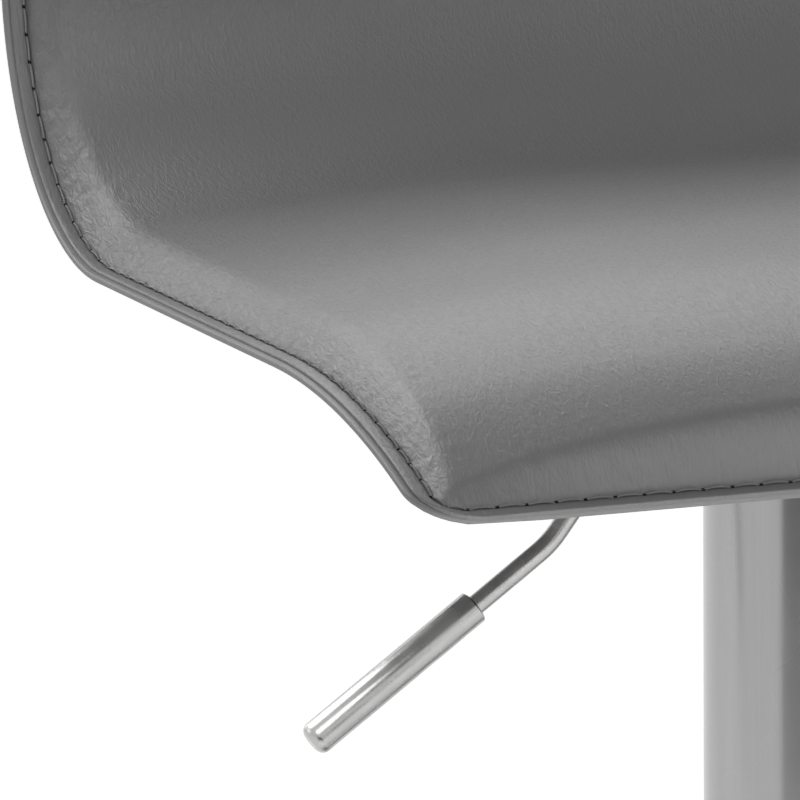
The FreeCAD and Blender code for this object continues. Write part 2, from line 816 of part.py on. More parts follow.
def piston_head():
    """Piston on the rod's top end, with a groove for its seal."""
    head = rod(piston_radius, rod_top, rod_top + piston_height)
    groove = Part.makeTorus(cylinder_bore_radius - seal_radius - running_gap,
                            seal_radius + weld_gap, point(0, 0, seal_height))
    return head.cut(groove)


def piston_seal():
    """Round seal between the piston and the cylinder's bore."""
    return Part.makeTorus(cylinder_bore_radius - seal_radius - running_gap, seal_radius,
                          point(0, 0, seal_height))


def dome_line(offset):
    """Edges of the base cover's section: rim, shoulder, slope, flare and neck."""
    neck_radius = socket_radius + dome_neck_gap + dome_thickness
    rise = quarter_turn - dome_slope
    shoulder_reach = dome_shoulder_radius * (1 - math.cos(math.radians(rise)))
    flare_reach = dome_flare_radius * (1 - math.cos(math.radians(rise)))
    slope = math.radians(dome_slope)
    run = (base_radius - neck_radius - shoulder_reach - flare_reach) / math.cos(slope)
    legs = [("run", dome_rim_height),
            ("bend", dome_shoulder_radius, rise),
            ("run", run),
            ("bend", dome_flare_radius, -rise)]
    climb = (dome_rim_height + run * math.sin(slope)
             + (dome_shoulder_radius + dome_flare_radius) * math.cos(slope))
    legs.append(("run", socket_top - ring_seat - climb))
    return trace((base_radius, ring_seat), quarter_turn, legs, offset,
                 lambda r, z: point(r, 0, z))[0]


def base_dome():
    """Pressed sheet cover of the base, from its upright rim to the neck round the column."""
    outer = dome_line(0)
    inner = dome_line(dome_thickness)
    outer_rim, outer_neck = edge_ends(outer)
    inner_rim, inner_neck = edge_ends(inner)
    wire = Part.Wire(outer + [Part.makeLine(outer_neck, inner_neck)]
                     + list(reversed(inner)) + [Part.makeLine(inner_rim, outer_rim)])
    return Part.Face(wire).revolve(Vector(), Z, 360)


def ballast_bolt_places():
    for i in range(ballast_bolt_count):
        turn = 2 * math.pi * i / ballast_bolt_count
        yield ballast_bolt_circle * math.cos(turn), ballast_bolt_circle * math.sin(turn)


def base_socket():
    """Tube socket that holds the column, with a ledge inside and a flange on the ballast."""
    wall = ring(column_radius + weld_gap, socket_radius, socket_bottom, socket_top)
    ledge = ring(column_radius - socket_ledge_width, socket_radius,
                 column_bottom - weld_gap - socket_ledge_thickness, column_bottom - weld_gap)
    flange = ring(column_radius + weld_gap, socket_flange_radius, socket_bottom,
                  socket_bottom + socket_flange_thickness)
    return bored(joined([wall, ledge, flange]), ballast_bolt_places(), bolt_hole_radius,
                 socket_bottom - overrun, socket_bottom + socket_flange_thickness + overrun)


def ballast_plate():
    """Heavy disc that stands on the floor ring and keeps the stool upright."""
    disc = ring(ballast_bore_radius, ballast_radius, ring_seat, ballast_top)
    disc = bored(disc, ballast_bolt_places(), bolt_hole_radius, ring_seat - overrun,
                 ballast_top + overrun)
    return bored(disc, ballast_bolt_places(), bolt_head_radius + running_gap,
                 ring_seat - overrun, ballast_head_top + weld_gap)


def hex_bar(across_radius, bottom, top, x, y):
    """Six-sided bar, sized by its corner radius."""
    corners = [point(x + across_radius * math.cos(math.radians(60 * i)),
                     y + across_radius * math.sin(math.radians(60 * i)), bottom) for i in range(7)]
    return Part.Face(Part.makePolygon(corners)).extrude(Z * (top - bottom))


def ballast_bolt(x, y):
    """Bolt up through ballast and flange, its head sunk in the ballast."""
    head = hex_bar(bolt_head_radius, ring_seat, ballast_head_top, x, y)
    shank = rod(bolt_radius, ballast_head_top, ballast_nut_bottom + 2 * bolt_head_height, x, y)
    return joined([head, shank])


def ballast_nut(x, y):
    top = ballast_nut_bottom + bolt_head_height
    return hex_bar(bolt_head_radius, ballast_nut_bottom, top, x, y).cut(
        rod(bolt_radius + weld_gap, ballast_nut_bottom - overrun, top + overrun, x, y))


def floor_ring():
    """Rubber ring under the dome's rim, with a lip up round its outside."""
    outer = base_radius + floor_ring_lip
    inner = base_radius - floor_ring_width
    seat = floor_ring_thickness
    groove = base_radius + weld_gap
    top = floor_ring_lip_height
    return revolved([(inner, 0), (outer - floor_ring_round, 0), (outer, floor_ring_round),
                     (outer, top - floor_ring_round), (outer - floor_ring_round, top),
                     (groove, top), (groove, seat), (inner, seat)])


def trim_ring():
    """Plastic ring that closes the gap between the dome's neck and the column."""
    bottom = socket_top + weld_gap
    inner = column_radius + weld_gap
    outer = socket_radius + trim_ring_wall
    round_off = trim_ring_wall / 2
    top = bottom + trim_ring_height
    return revolved([(inner, bottom), (outer, bottom), (outer, top - round_off),
                     (outer - round_off, top), (inner, top)])


def footrest_bar():
    """Bent tube loop in front of the column, with its two roots on the collar."""
    points = [point(-column_radius, -footrest_root_reach, footrest_height),
              point(-footrest_side_half, -footrest_side_reach, footrest_height),
              point(-footrest_front_half, -footrest_front_reach, footrest_height),
              point(footrest_front_half, -footrest_front_reach, footrest_height),
              point(footrest_side_half, -footrest_side_reach, footrest_height),
              point(column_radius, -footrest_root_reach, footrest_height)]
    line = bent_line(points, [footrest_side_bend, footrest_front_bend,
                              footrest_front_bend, footrest_side_bend])
    outer = swept(footrest_tube_radius, line)
    hollow = swept(footrest_tube_radius - footrest_tube_wall, line)
    reach = footrest_tube_radius + overrun
    root = rod(column_radius + collar_wall + 2 * weld_gap, footrest_height - reach,
               footrest_height + reach)
    return outer.cut(hollow).cut(root)


def footrest_collar():
    """Split collar round the column, with two ears at the back."""
    inner = column_radius + weld_gap
    outer = column_radius + collar_wall
    ears = block(-ear_width - collar_slit / 2, ear_width + collar_slit / 2, column_radius,
                 outer + ear_length, collar_bottom, collar_top)
    upright = [edge for edge in ears.Edges
               if abs(edge.tangentAt(0).z) > 0.5 and edge.BoundBox.YMin > outer]
    ears = ears.makeFillet(ear_width / 3, upright)
    body = joined([rod(outer, collar_bottom, collar_top), ears])
    slit = block(-collar_slit / 2, collar_slit / 2, 0, outer + ear_length + overrun,
                 collar_bottom - overrun, collar_top + overrun)
    holes = [Part.makeCylinder(ear_screw_radius + weld_gap, 2 * (ear_width + collar_slit),
                               point(-ear_width - collar_slit, y, z), X)
             for y, z in ear_screw_places()]
    return body.cut([rod(inner, collar_bottom - overrun, collar_top + overrun), slit] + holes)


def ear_screw_places():
    y = column_radius + collar_wall + ear_length / 2
    for side in (-1, 1):
        yield y, footrest_height + side * ear_screw_offset


def collar_screws():
    """Screws and nuts that clamp the collar's ears."""
    pieces = []
    half = ear_width + collar_slit / 2 + weld_gap
    for y, z in ear_screw_places():
        shank = Part.makeCylinder(ear_screw_radius, 2 * half + ear_nut_height,
                                  point(-half, y, z), X)
        head = Part.makeCylinder(ear_screw_head_radius, ear_screw_head_height,
                                 point(-half - ear_screw_head_height, y, z), X)
        pieces.append(joined([shank, head]))
        corners = [point(half, y + ear_nut_radius * math.cos(math.radians(60 * i)),
                         z + ear_nut_radius * math.sin(math.radians(60 * i))) for i in range(7)]
        nut = Part.Face(Part.makePolygon(corners)).extrude(X * ear_nut_height)
        pieces.append(nut.cut(Part.makeCylinder(ear_screw_radius + weld_gap,
                                                ear_nut_height + 2 * overrun,
                                                point(half - overrun, y, z), X)))
    return Part.makeCompound(pieces)


def group(maker, places):
    """Identical fasteners, as separate solids of one node."""
    return Part.makeCompound([maker(x, y) for x, y in places])


nodes = {
    "top_cover": top_cover,
    "foam_pad": foam_pad,
    "edge_hem": edge_hem,
    "underside_cover": underside_cover,
    "seat_shell": seat_shell,
    "mounting_board": mounting_board,
    "board_screws": lambda: group(board_screw, board_screw_places()),
    "threaded_inserts": lambda: group(threaded_insert, bolt_places()),
    "seat_bolts": lambda: group(seat_bolt, bolt_places()),
    "seat_plate": seat_plate,
    "taper_hub": taper_hub,
    "lever_bracket": lever_bracket,
    "lever_pivot": lever_pivot,
    "lever_rod": lever_rod,
    "lever_sleeve": lever_sleeve,
    "release_button": release_button,
    "gas_cylinder": gas_cylinder,
    "valve_block": valve_block,
    "rod_gland": rod_gland,
    "cover_collar": cover_collar,
    "cover_tube": cover_tube,
    "slide_ring": slide_ring,
    "column_tube": column_tube,
    "guide_sleeve": guide_sleeve,
    "lower_race": lambda: raceway(race_bottom + weld_gap),
    "bearing_balls": bearing_balls,
    "upper_race": lambda: raceway(upper_race_bottom - weld_gap),
    "piston_rod": piston_rod,
    "rod_clip": rod_clip,
    "clip_washer": clip_washer,
    "lift_bumper": lift_bumper,
    "piston_head": piston_head,
    "piston_seal": piston_seal,
    "base_dome": base_dome,
    "base_socket": base_socket,
    "ballast_plate": ballast_plate,
    "ballast_bolts": lambda: group(ballast_bolt, ballast_bolt_places()),
    "ballast_nuts": lambda: group(ballast_nut, ballast_bolt_places()),
    "floor_ring": floor_ring,
    "trim_ring": trim_ring,
    "footrest_bar": footrest_bar,
    "footrest_collar": footrest_collar,
    "collar_screws": collar_screws,
}


def main():
    os.makedirs("parts", exist_ok=True)
    for name, maker in nodes.items():
        shape = maker()
        print(name, "solids", len(shape.Solids), "valid", shape.isValid(),
              "volume", round(shape.Volume))
        shape.exportStep(os.path.join("parts", name + ".step"))


main()
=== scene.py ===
import json
import math
import random

import bpy
import numpy as np
from mathutils import Matrix, Vector, noise


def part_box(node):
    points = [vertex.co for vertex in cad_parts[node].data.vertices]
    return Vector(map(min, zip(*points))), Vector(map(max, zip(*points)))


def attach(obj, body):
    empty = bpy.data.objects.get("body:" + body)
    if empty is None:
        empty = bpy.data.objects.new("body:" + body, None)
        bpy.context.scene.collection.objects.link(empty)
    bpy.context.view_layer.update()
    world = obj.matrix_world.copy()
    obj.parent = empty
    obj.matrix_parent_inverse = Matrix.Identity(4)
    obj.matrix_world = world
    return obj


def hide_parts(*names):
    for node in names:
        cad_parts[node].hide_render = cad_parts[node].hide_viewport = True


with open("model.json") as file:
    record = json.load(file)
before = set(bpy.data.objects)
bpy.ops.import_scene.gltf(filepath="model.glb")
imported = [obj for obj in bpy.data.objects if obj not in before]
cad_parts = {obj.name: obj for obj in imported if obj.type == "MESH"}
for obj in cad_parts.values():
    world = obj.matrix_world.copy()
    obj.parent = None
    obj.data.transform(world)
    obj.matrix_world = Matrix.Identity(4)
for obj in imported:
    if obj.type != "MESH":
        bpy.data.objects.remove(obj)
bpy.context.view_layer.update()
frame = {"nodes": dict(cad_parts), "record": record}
mm = 0.001
print("stage: frame loaded")

# The seat's wave in millimetres and degrees, from the front edge to the back's curled edge.
# "Along" is the distance from the front edge on the lower face of the sewn edge, a level is the
# height above that face, square to the wave, and a margin is the distance in from the edge.
seatShape = {
    "crestHeight": 586.0,
    "frontReach": 190.0,
    "crestReach": 69.6,
    "crestRadius": 308.7,
    "saddleSlope": 1.1,
    "backRadius": 89.3,
    "backReach": 191.0,
    "curlRadius": 70.0,
    "curlAngle": 35.0,
    "cornerMargins": [0.0, 2.3, 7.0],    # the stitch line turns more sharply than the edge does
    "cornerRadii": [20.4, 18.0, 7.0],
    "tuckMargin": 2.3,
    "endTuck": 2.0,       # the hem stands nearer to the front and back edges than to the sides
    "stitchMargin": 7.0,
}


def waveRuns():
    shape = seatShape
    frontSlope = math.asin((shape["frontReach"] - shape["crestReach"]) / shape["crestRadius"])
    saddle = math.radians(shape["saddleSlope"])
    crestEnd = -shape["crestReach"] + shape["crestRadius"] * math.sin(saddle)
    sweepStart = shape["backReach"] - shape["backRadius"] * (1 + math.sin(saddle))
    start = (-shape["frontReach"],
             shape["crestHeight"] - shape["crestRadius"] * (1 - math.cos(frontSlope)), frontSlope)
    runs = [  # radius, negative where the wave bends down, and length
        (-shape["crestRadius"], shape["crestRadius"] * (frontSlope + saddle)),
        (None, (sweepStart - crestEnd) / math.cos(saddle)),
        (shape["backRadius"], shape["backRadius"] * (math.pi / 2 + saddle)),
        (-shape["curlRadius"], shape["curlRadius"] * math.radians(shape["curlAngle"])),
    ]
    return start, runs


waveStart, wavePieces = waveRuns()
waveLength = sum(length for radius, length in wavePieces)
lowEdge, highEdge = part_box("underside_cover")
halfWidth = (highEdge.x - lowEdge.x) / 2 / mm


def waveAt(along):
    # Place and slope at each distance along the wave
    left = np.asarray(along, float)
    y, z, slope = (np.full(left.shape, value) for value in waveStart)
    for radius, length in wavePieces:
        step = np.clip(left, 0, length)
        if radius:
            turned = slope + step / radius
            y = y + radius * (np.sin(turned) - np.sin(slope))
            z = z - radius * (np.cos(turned) - np.cos(slope))
            slope = turned
        else:
            y = y + step * np.cos(slope)
            z = z + step * np.sin(slope)
        left = left - step
    return y, z, slope


def seatPoints(x, along, level):
    # Places on the seat in metres, as an array whose last side is x, y, z
    y, z, slope = waveAt(along)
    return np.stack([x + 0 * y, y - np.sin(slope) * level, z + np.cos(slope) * level], -1) * mm


def cornerRadius(margin):
    return float(np.interp(margin, seatShape["cornerMargins"], seatShape["cornerRadii"]))


def halfSizes(margin):
    tuck = seatShape["endTuck"] * min(margin / seatShape["tuckMargin"], 1)
    return halfWidth - margin, waveLength / 2 - margin + tuck


def gridStops(half, edgeSteps, pitch):
    # Places from -half to half, closer together near both ends
    fromRim = np.concatenate([[0], np.cumsum(edgeSteps)])
    inner = half - fromRim[-1]
    middle = np.linspace(-inner, inner, max(2, round(2 * inner / pitch)) + 1)
    return np.concatenate([fromRim[:-1] - half, middle, (half - fromRim[:-1])[::-1]])


def seatGrid(margin, edgeSteps, pitchX, pitchAlong):
    # Rows run across the seat. Near a corner the square grid is pressed into a quarter disc
    radius = cornerRadius(margin)
    halfX, halfAlong = halfSizes(margin)
    stopsX = gridStops(halfX, edgeSteps, pitchX)
    stopsAlong = gridStops(halfAlong, edgeSteps, pitchAlong)
    x, along = np.meshgrid(stopsX, stopsAlong)
    partX = np.clip((np.abs(x) - halfX + radius) / radius, 0, 1)
    partAlong = np.clip((np.abs(along) - halfAlong + radius) / radius, 0, 1)
    pulledX = halfX - radius + radius * partX * np.sqrt(1 - partAlong ** 2 / 2)
    pulledAlong = halfAlong - radius + radius * partAlong * np.sqrt(1 - partX ** 2 / 2)
    x = np.where(partX > 0, np.sign(x) * pulledX, x)
    along = np.where(partAlong > 0, np.sign(along) * pulledAlong, along)
    return x, along + waveLength / 2, stopsX, stopsAlong


def rimDistances(x, along, margin):
    # Distance in from a rounded rim, and from its sides and ends alone
    radius = cornerRadius(margin)
    halfX, halfAlong = halfSizes(margin)
    fromSide = halfX - np.abs(x)
    fromEnd = halfAlong - np.abs(along - waveLength / 2)
    inCorner = (fromSide < radius) & (fromEnd < radius)
    rounded = radius - np.hypot(radius - fromSide, radius - fromEnd)
    return np.where(inCorner, rounded, np.minimum(fromSide, fromEnd)), fromSide, fromEnd


def gridFaces(rows, columns):
    return [(a, a + 1, a + columns + 1, a + columns)
            for a in (j * columns + i for j in range(rows - 1) for i in range(columns - 1))]


def rimOrder(rows, columns):
    # The grid's outer points, turning left round the seat as seen from above
    front = list(range(columns - 1))
    right = [j * columns + columns - 1 for j in range(rows - 1)]
    back = [(rows - 1) * columns + i for i in range(columns - 1, 0, -1)]
    left = [j * columns for j in range(rows - 1, 0, -1)]
    return front + right + back + left


def makePiece(name, points, faces, body, material, attributes=None):
    mesh = bpy.data.meshes.new(name)
    mesh.from_pydata(np.asarray(points).reshape(-1, 3).tolist(), [], faces)
    mesh.polygons.foreach_set("use_smooth", [True] * len(mesh.polygons))
    for title, values in (attributes or {}).items():
        layer = mesh.attributes.new(title, "FLOAT_VECTOR", "POINT")
        layer.data.foreach_set("vector", np.asarray(values, np.float32).ravel())
    mesh.materials.append(material)
    mesh.update()
    piece = bpy.data.objects.new(name, mesh)
    bpy.context.scene.collection.objects.link(piece)
    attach(piece, body)
    return piece


def linear(hexColour):
    # sRGB hex to the linear values that the shaders take
    parts = [int(hexColour[i:i + 2], 16) / 255 for i in (1, 3, 5)]
    return tuple(p / 12.92 if p <= 0.04045 else ((p + 0.055) / 1.055) ** 2.4 for p in parts) + (1,)


def addNode(tree, kind, inputs=None, **settings):
    node = tree.nodes.new("ShaderNode" + kind)
    for name, value in settings.items():
        setattr(node, name, value)
    for name, value in (inputs or {}).items():
        if isinstance(value, bpy.types.NodeSocket):
            tree.links.new(value, node.inputs[name])
        else:
            node.inputs[name].default_value = value
    return node


def startMaterial(name):
    # A new material, with the object's own coordinates for its patterns
    material = bpy.data.materials.new(name)
    material.use_nodes = True
    tree = material.node_tree
    object3d = addNode(tree, "TexCoord").outputs["Object"]
    return material, tree, tree.nodes["Principled BSDF"], object3d


def perMetre(sizeInMm):
    return 1 / (sizeInMm * mm)


def speckles(tree, place, size, detail=2):
    # Noise with spots about this many millimetres across
    return addNode(tree, "TexNoise", {"Vector": place, "Scale": perMetre(size),
                                      "Detail": detail}).outputs["Fac"]


def drawnOut(tree, place, scales, detail, roughness, distortion=0):
    # Noise stretched by a scale for each direction
    stretched = addNode(tree, "VectorMath", {0: place, 1: scales}, operation="MULTIPLY")
    return addNode(tree, "TexNoise", {"Vector": stretched.outputs[0], "Scale": 1,
                                      "Detail": detail, "Roughness": roughness,
                                      "Distortion": distortion}).outputs["Fac"]


def blendColours(tree, factor, first, second):
    # A mix node's colour sockets share their names with others, so they go by number
    mix = addNode(tree, "Mix", {"Factor": factor}, data_type="RGBA")
    mix.inputs[6].default_value = linear(first)
    mix.inputs[7].default_value = linear(second)
    return mix.outputs[2]


def colourBy(tree, shader, pattern, look):
    # The look's dark shade where the pattern is low, its light shade where it is high
    tree.links.new(blendColours(tree, pattern, look["dark"], look["light"]),
                   shader.inputs["Base Color"])


noiseRange = (0.3, 0.7)   # most of a noise texture's values lie between these


def roughnessBy(tree, shader, pattern, whereLow, whereHigh, patternRange=noiseRange):
    low, high = patternRange
    rough = addNode(tree, "MapRange", {"Value": pattern, "From Min": low, "From Max": high,
                                       "To Min": whereLow, "To Max": whereHigh})
    tree.links.new(rough.outputs[0], shader.inputs["Roughness"])


def raised(tree, pattern, depth, **others):
    # Relief of this many millimetres
    return addNode(tree, "Bump", {"Height": pattern, "Distance": depth * mm,
                                  **others}).outputs[0]


def embossedVinyl():
    # Polyurethane-coated cloth, roller embossed: a broad soft shine over grain and fine creases
    look = {"light": "#616161", "dark": "#5b5b5b", "cloud": 45.0,
            "pebble": 1.1, "pebbleDepth": 0.06,
            "grainWidth": 1.2, "grainLength": 3.6, "grainDepth": 0.34,
            "wrinkleWidth": 1.1, "wrinkleLength": 5.5, "wrinkleDepth": 0.5,
            "roughest": 0.50, "smoothest": 0.40, "index": 1.5}
    material, tree, shader, object3d = startMaterial("embossedVinyl")
    place = addNode(tree, "Attribute", attribute_name="seatPlace").outputs["Vector"]
    strength = addNode(tree, "SeparateXYZ", {"Vector": place}).outputs["Z"]
    grain = drawnOut(tree, place, (1 / look["grainWidth"], 1 / look["grainLength"], 0),
                     detail=3, roughness=0.6, distortion=0.8)
    wrinkles = drawnOut(tree, place, (1 / look["wrinkleWidth"], 1 / look["wrinkleLength"], 0),
                        detail=2, roughness=0.5, distortion=0.9)
    pebbles = addNode(tree, "TexVoronoi", {"Vector": object3d, "Scale": perMetre(look["pebble"])},
                      feature="SMOOTH_F1").outputs["Distance"]
    colourBy(tree, shader, speckles(tree, object3d, look["cloud"], detail=4), look)
    roughnessBy(tree, shader, grain, look["roughest"], look["smoothest"])
    pebbled = raised(tree, pebbles, look["pebbleDepth"])
    grained = raised(tree, grain, look["grainDepth"], Normal=pebbled)
    wrinkled = raised(tree, wrinkles, look["wrinkleDepth"], Strength=strength, Normal=grained)
    tree.links.new(wrinkled, shader.inputs["Normal"])
    shader.inputs["IOR"].default_value = look["index"]
    return material


def sewingThread():
    # Bonded polyester thread, two plies twisted: pale, with a dull silky shine
    look = {"light": "#8e8e8e", "dark": "#6a6a6a", "fibre": 0.48, "roughness": 0.55,
            "sheen": 0.2}
    material, tree, shader, object3d = startMaterial("sewingThread")
    colourBy(tree, shader, speckles(tree, object3d, look["fibre"]), look)
    shader.inputs["Roughness"].default_value = look["roughness"]
    shader.inputs["Sheen Weight"].default_value = look["sheen"]
    return material


def paintedHoleShade():
    # Painted shade inside a needle hole: an almost black colour in place of the hole's own shadow,
    # mottled a little
    look = {"light": "#262626", "dark": "#131313", "shadeMottle": 0.5}
    material, tree, shader, object3d = startMaterial("paintedHoleShade")
    colourBy(tree, shader, speckles(tree, object3d, look["shadeMottle"]), look)
    shader.inputs["Roughness"].default_value = 1.0
    shader.inputs["Specular IOR Level"].default_value = 0.0
    return material


def brushedSteel(name, look):
    # Metal drawn along one direction by an abrasive belt: fine parallel lines blur reflections
    material, tree, shader, object3d = startMaterial(name)
    lineScales = tuple(perMetre(size) for size in look["lineSizes"])
    lines = drawnOut(tree, object3d, lineScales, detail=4, roughness=0.7)
    smears = speckles(tree, object3d, look["smear"], detail=3)
    colourBy(tree, shader, lines, look)
    roughnessBy(tree, shader, smears, look["smoothest"], look["roughest"])
    tree.links.new(raised(tree, lines, look["depth"]), shader.inputs["Normal"])
    shader.inputs["Metallic"].default_value = 1.0
    if look["anisotropy"]:
        tangent = addNode(tree, "Tangent", direction_type="RADIAL", axis="Z")
        tree.links.new(tangent.outputs[0], shader.inputs["Tangent"])
        shader.inputs["Anisotropic"].default_value = look["anisotropy"]
        shader.inputs["Anisotropic Rotation"].default_value = 0.25   # a quarter turn: upright
    return material


def coatedMetal(name, look):
    # Paint or powder coat on steel: a skin with slight orange peel, dull where dust settles
    material, tree, shader, object3d = startMaterial(name)
    dust = speckles(tree, object3d, look["dust"], detail=5)
    peel = speckles(tree, object3d, look["peel"])
    colourBy(tree, shader, dust, look)
    roughnessBy(tree, shader, dust, look["smoothest"], look["roughest"], (0, 1))
    tree.links.new(raised(tree, peel, look["depth"]), shader.inputs["Normal"])
    return material


def birchPlywood():
    # Rotary-cut birch veneers glued crosswise: flame grain on the face, striped edges
    look = {"light": "#d0b183", "dark": "#b08d5d", "glue": "#6f5233", "grainWidth": 5.0,
            "grainLength": 90.0, "ply": 1.5, "roughness": 0.6, "depth": 0.05,
            "gluePitch": 30.0, "glueShare": 0.2, "glueStrength": 0.5}
    material, tree, shader, object3d = startMaterial("birchPlywood")
    grainScales = tuple(perMetre(look[side]) for side in ("grainWidth", "grainLength", "ply"))
    grain = drawnOut(tree, object3d, grainScales, detail=6, roughness=0.6, distortion=1.2)
    plies = addNode(tree, "TexWave", {"Vector": object3d, "Scale": perMetre(look["gluePitch"]),
                                      "Distortion": 0.4}, wave_type="BANDS",
                    bands_direction="Z", wave_profile="TRI")
    line = addNode(tree, "MapRange", {"Value": plies.outputs["Fac"],
                                      "From Max": look["glueShare"],
                                      "To Min": look["glueStrength"], "To Max": 0.0})
    mix = addNode(tree, "Mix", {"Factor": line.outputs[0]}, data_type="RGBA")
    tree.links.new(blendColours(tree, grain, look["dark"], look["light"]), mix.inputs[6])
    mix.inputs[7].default_value = linear(look["glue"])
    tree.links.new(mix.outputs[2], shader.inputs["Base Color"])
    tree.links.new(raised(tree, grain, look["depth"]), shader.inputs["Normal"])
    shader.inputs["Roughness"].default_value = look["roughness"]
    return material


def mouldedPolymer(name, look):
    # Plastic, rubber or vinyl from a mould or roller: an even fine texture and a low sheen
    material, tree, shader, object3d = startMaterial(name)
    texture = speckles(tree, object3d, look["grain"], look["detail"])
    colourBy(tree, shader, texture, look)
    tree.links.new(raised(tree, texture, look["depth"]), shader.inputs["Normal"])
    shader.inputs["Roughness"].default_value = look["roughness"]
    return material


tubeLook = {"light": "#a4a4a4", "dark": "#989898", "lineSizes": (0.7, 0.7, 60), "smear": 60,
            "smoothest": 0.24, "roughest": 0.30, "depth": 0.0008, "anisotropy": 0.7}
rodLook = {"light": "#b9b9b8", "dark": "#a5a5a4", "lineSizes": (6, 6, 6), "smear": 15,
           "smoothest": 0.20, "roughest": 0.32, "depth": 0.003, "anisotropy": 0}
handleLook = {"light": "#bcbcbb", "dark": "#a2a2a1", "lineSizes": (14, 1.2, 14), "smear": 12,
              "smoothest": 0.22, "roughest": 0.36, "depth": 0.006, "anisotropy": 0}
zincLook = {"light": "#c5c8cb", "dark": "#a4a7aa", "lineSizes": (2, 2, 2), "smear": 5,
            "smoothest": 0.30, "roughest": 0.45, "depth": 0.004, "anisotropy": 0}
alloyLook = {"light": "#bdbdbe", "dark": "#a6a6a8", "lineSizes": (1, 1, 1), "smear": 6,
             "smoothest": 0.38, "roughest": 0.52, "depth": 0.006, "anisotropy": 0}
powderLook = {"light": "#262627", "dark": "#1c1c1d", "peel": 1.6, "dust": 30,
              "smoothest": 0.42, "roughest": 0.6, "depth": 0.03}
cylinderLook = {"light": "#1d1d1e", "dark": "#141415", "peel": 2.5, "dust": 40,
                "smoothest": 0.22, "roughest": 0.34, "depth": 0.01}
backingLook = {"light": "#6b6b6b", "dark": "#646464", "grain": 0.9, "detail": 2,
               "depth": 0.04, "roughness": 0.5}
absLook = {"light": "#242425", "dark": "#1b1b1c", "grain": 0.5, "detail": 3,
           "depth": 0.02, "roughness": 0.5}
buttonLook = {"light": "#1c1c1c", "dark": "#151515", "grain": 0.4, "detail": 3,
              "depth": 0.01, "roughness": 0.4}
nylonLook = {"light": "#d9d8d2", "dark": "#cfcec7", "grain": 0.8, "detail": 3,
             "depth": 0.01, "roughness": 0.45}
rubberLook = {"light": "#1a1a1a", "dark": "#121212", "grain": 0.7, "detail": 3,
              "depth": 0.03, "roughness": 0.8}

vinyl = embossedVinyl()
backing = mouldedPolymer("backingVinyl", backingLook)
thread = sewingThread()
# painted shade for the needle holes
holeShade = paintedHoleShade()
slotMaterials = {
    "upholstery": vinyl,
    "underside_cloth": backing,
    "plywood": birchPlywood(),
    "zinc_fasteners": brushedSteel("zincPlatedSteel", zincLook),
    "black_steel": coatedMetal("blackPowderCoat", powderLook),
    "bright_steel": brushedSteel("drawnSteelRod", rodLook),
    "handle_steel": brushedSteel("satinSteelHandle", handleLook),
    "button_plastic": mouldedPolymer("acetalButton", buttonLook),
    "cylinder_paint": coatedMetal("stovedBlackEnamel", cylinderLook),
    "valve_alloy": brushedSteel("dieCastAlloy", alloyLook),
    "black_plastic": mouldedPolymer("mouldedBlackAbs", absLook),
    "nylon": mouldedPolymer("mouldedNylon", nylonLook),
    "brushed_steel": brushedSteel("brushedStainlessTube", tubeLook),
    "rubber": mouldedPolymer("mouldedRubber", rubberLook),
}


def dressNodes():
    for row in frame["record"]["subparts"]:
        if row["material_slot"] in slotMaterials:
            materials = frame["nodes"][row["node"]].data.materials
            materials.clear()
            materials.append(slotMaterials[row["material_slot"]])


dressNodes()
print("stage: materials set")

# Stitch line: two plies of thread between needle holes, in the valley where the pad meets the hem
stitchShape = {
    "pitch": 9.15,
    "margin": 6.55,
    "level": 3.15,
    "cornerCount": 2,
    "plyRadius": 0.2,
    "plyOffset": 0.22,
    "lift": 0.42,
    "dive": 0.6,
    "turns": 5.0,
    "steps": 30,
    "sides": 6,
    "seed": 7,
    "holeSize": (0.9, 0.62, 0.42),
    "holeDrop": 0.2,
    "holeSides": 10,
    "holeRings": 4,
}


def cornerCentres(margin):
    # The rounded corners' radius, and their centres from the right front one, turning left
    radius = cornerRadius(margin)
    halfX, halfAlong = (half - radius for half in halfSizes(margin))
    front, back = waveLength / 2 - halfAlong, waveLength / 2 + halfAlong
    return radius, [(halfX, front), (halfX, back), (-halfX, back), (-halfX, front)]


def offCentre(centre, radius, angle):
    return centre[0] + radius * math.cos(angle), centre[1] + radius * math.sin(angle)


def between(start, end, share):
    return start[0] + (end[0] - start[0]) * share, start[1] + (end[1] - start[1]) * share


def stitchSides():
    # The corners and straight runs of the stitch line, each a whole number of stitches long
    radius, centres = cornerCentres(stitchShape["margin"])
    sides = []
    for k, centre in enumerate(centres):
        out = k * math.pi / 2
        start = offCentre(centre, radius, out)
        end = offCentre(centres[(k + 1) % 4], radius, out)
        sides.append({"corner": centre, "radius": radius, "out": out, "start": start, "end": end,
                      "count": round(math.dist(start, end) / stitchShape["pitch"])})
    return sides


def needleHoles():
    places = []
    for side in stitchSides():
        for i in range(stitchShape["cornerCount"]):
            angle = side["out"] - math.pi / 2 * (1 - i / stitchShape["cornerCount"])
            places.append(offCentre(side["corner"], side["radius"], angle))
        for i in range(side["count"]):
            places.append(between(side["start"], side["end"], i / side["count"]))
    return np.array(places)


holes = needleHoles()


def holePull(x, along):
    # How near a place is to a needle hole on the sides and on the ends, 1 at a hole, 0 midway
    sides = stitchSides()
    right, back = sides[0], sides[1]
    alongPhase = (along - right["start"][1]) / (right["end"][1] - right["start"][1])
    acrossPhase = (x - back["start"][0]) / (back["end"][0] - back["start"][0])
    nearSide = 0.5 + 0.5 * np.cos(2 * np.pi * alongPhase * right["count"])
    nearEnd = 0.5 + 0.5 * np.cos(2 * np.pi * acrossPhase * back["count"])
    return nearSide, nearEnd


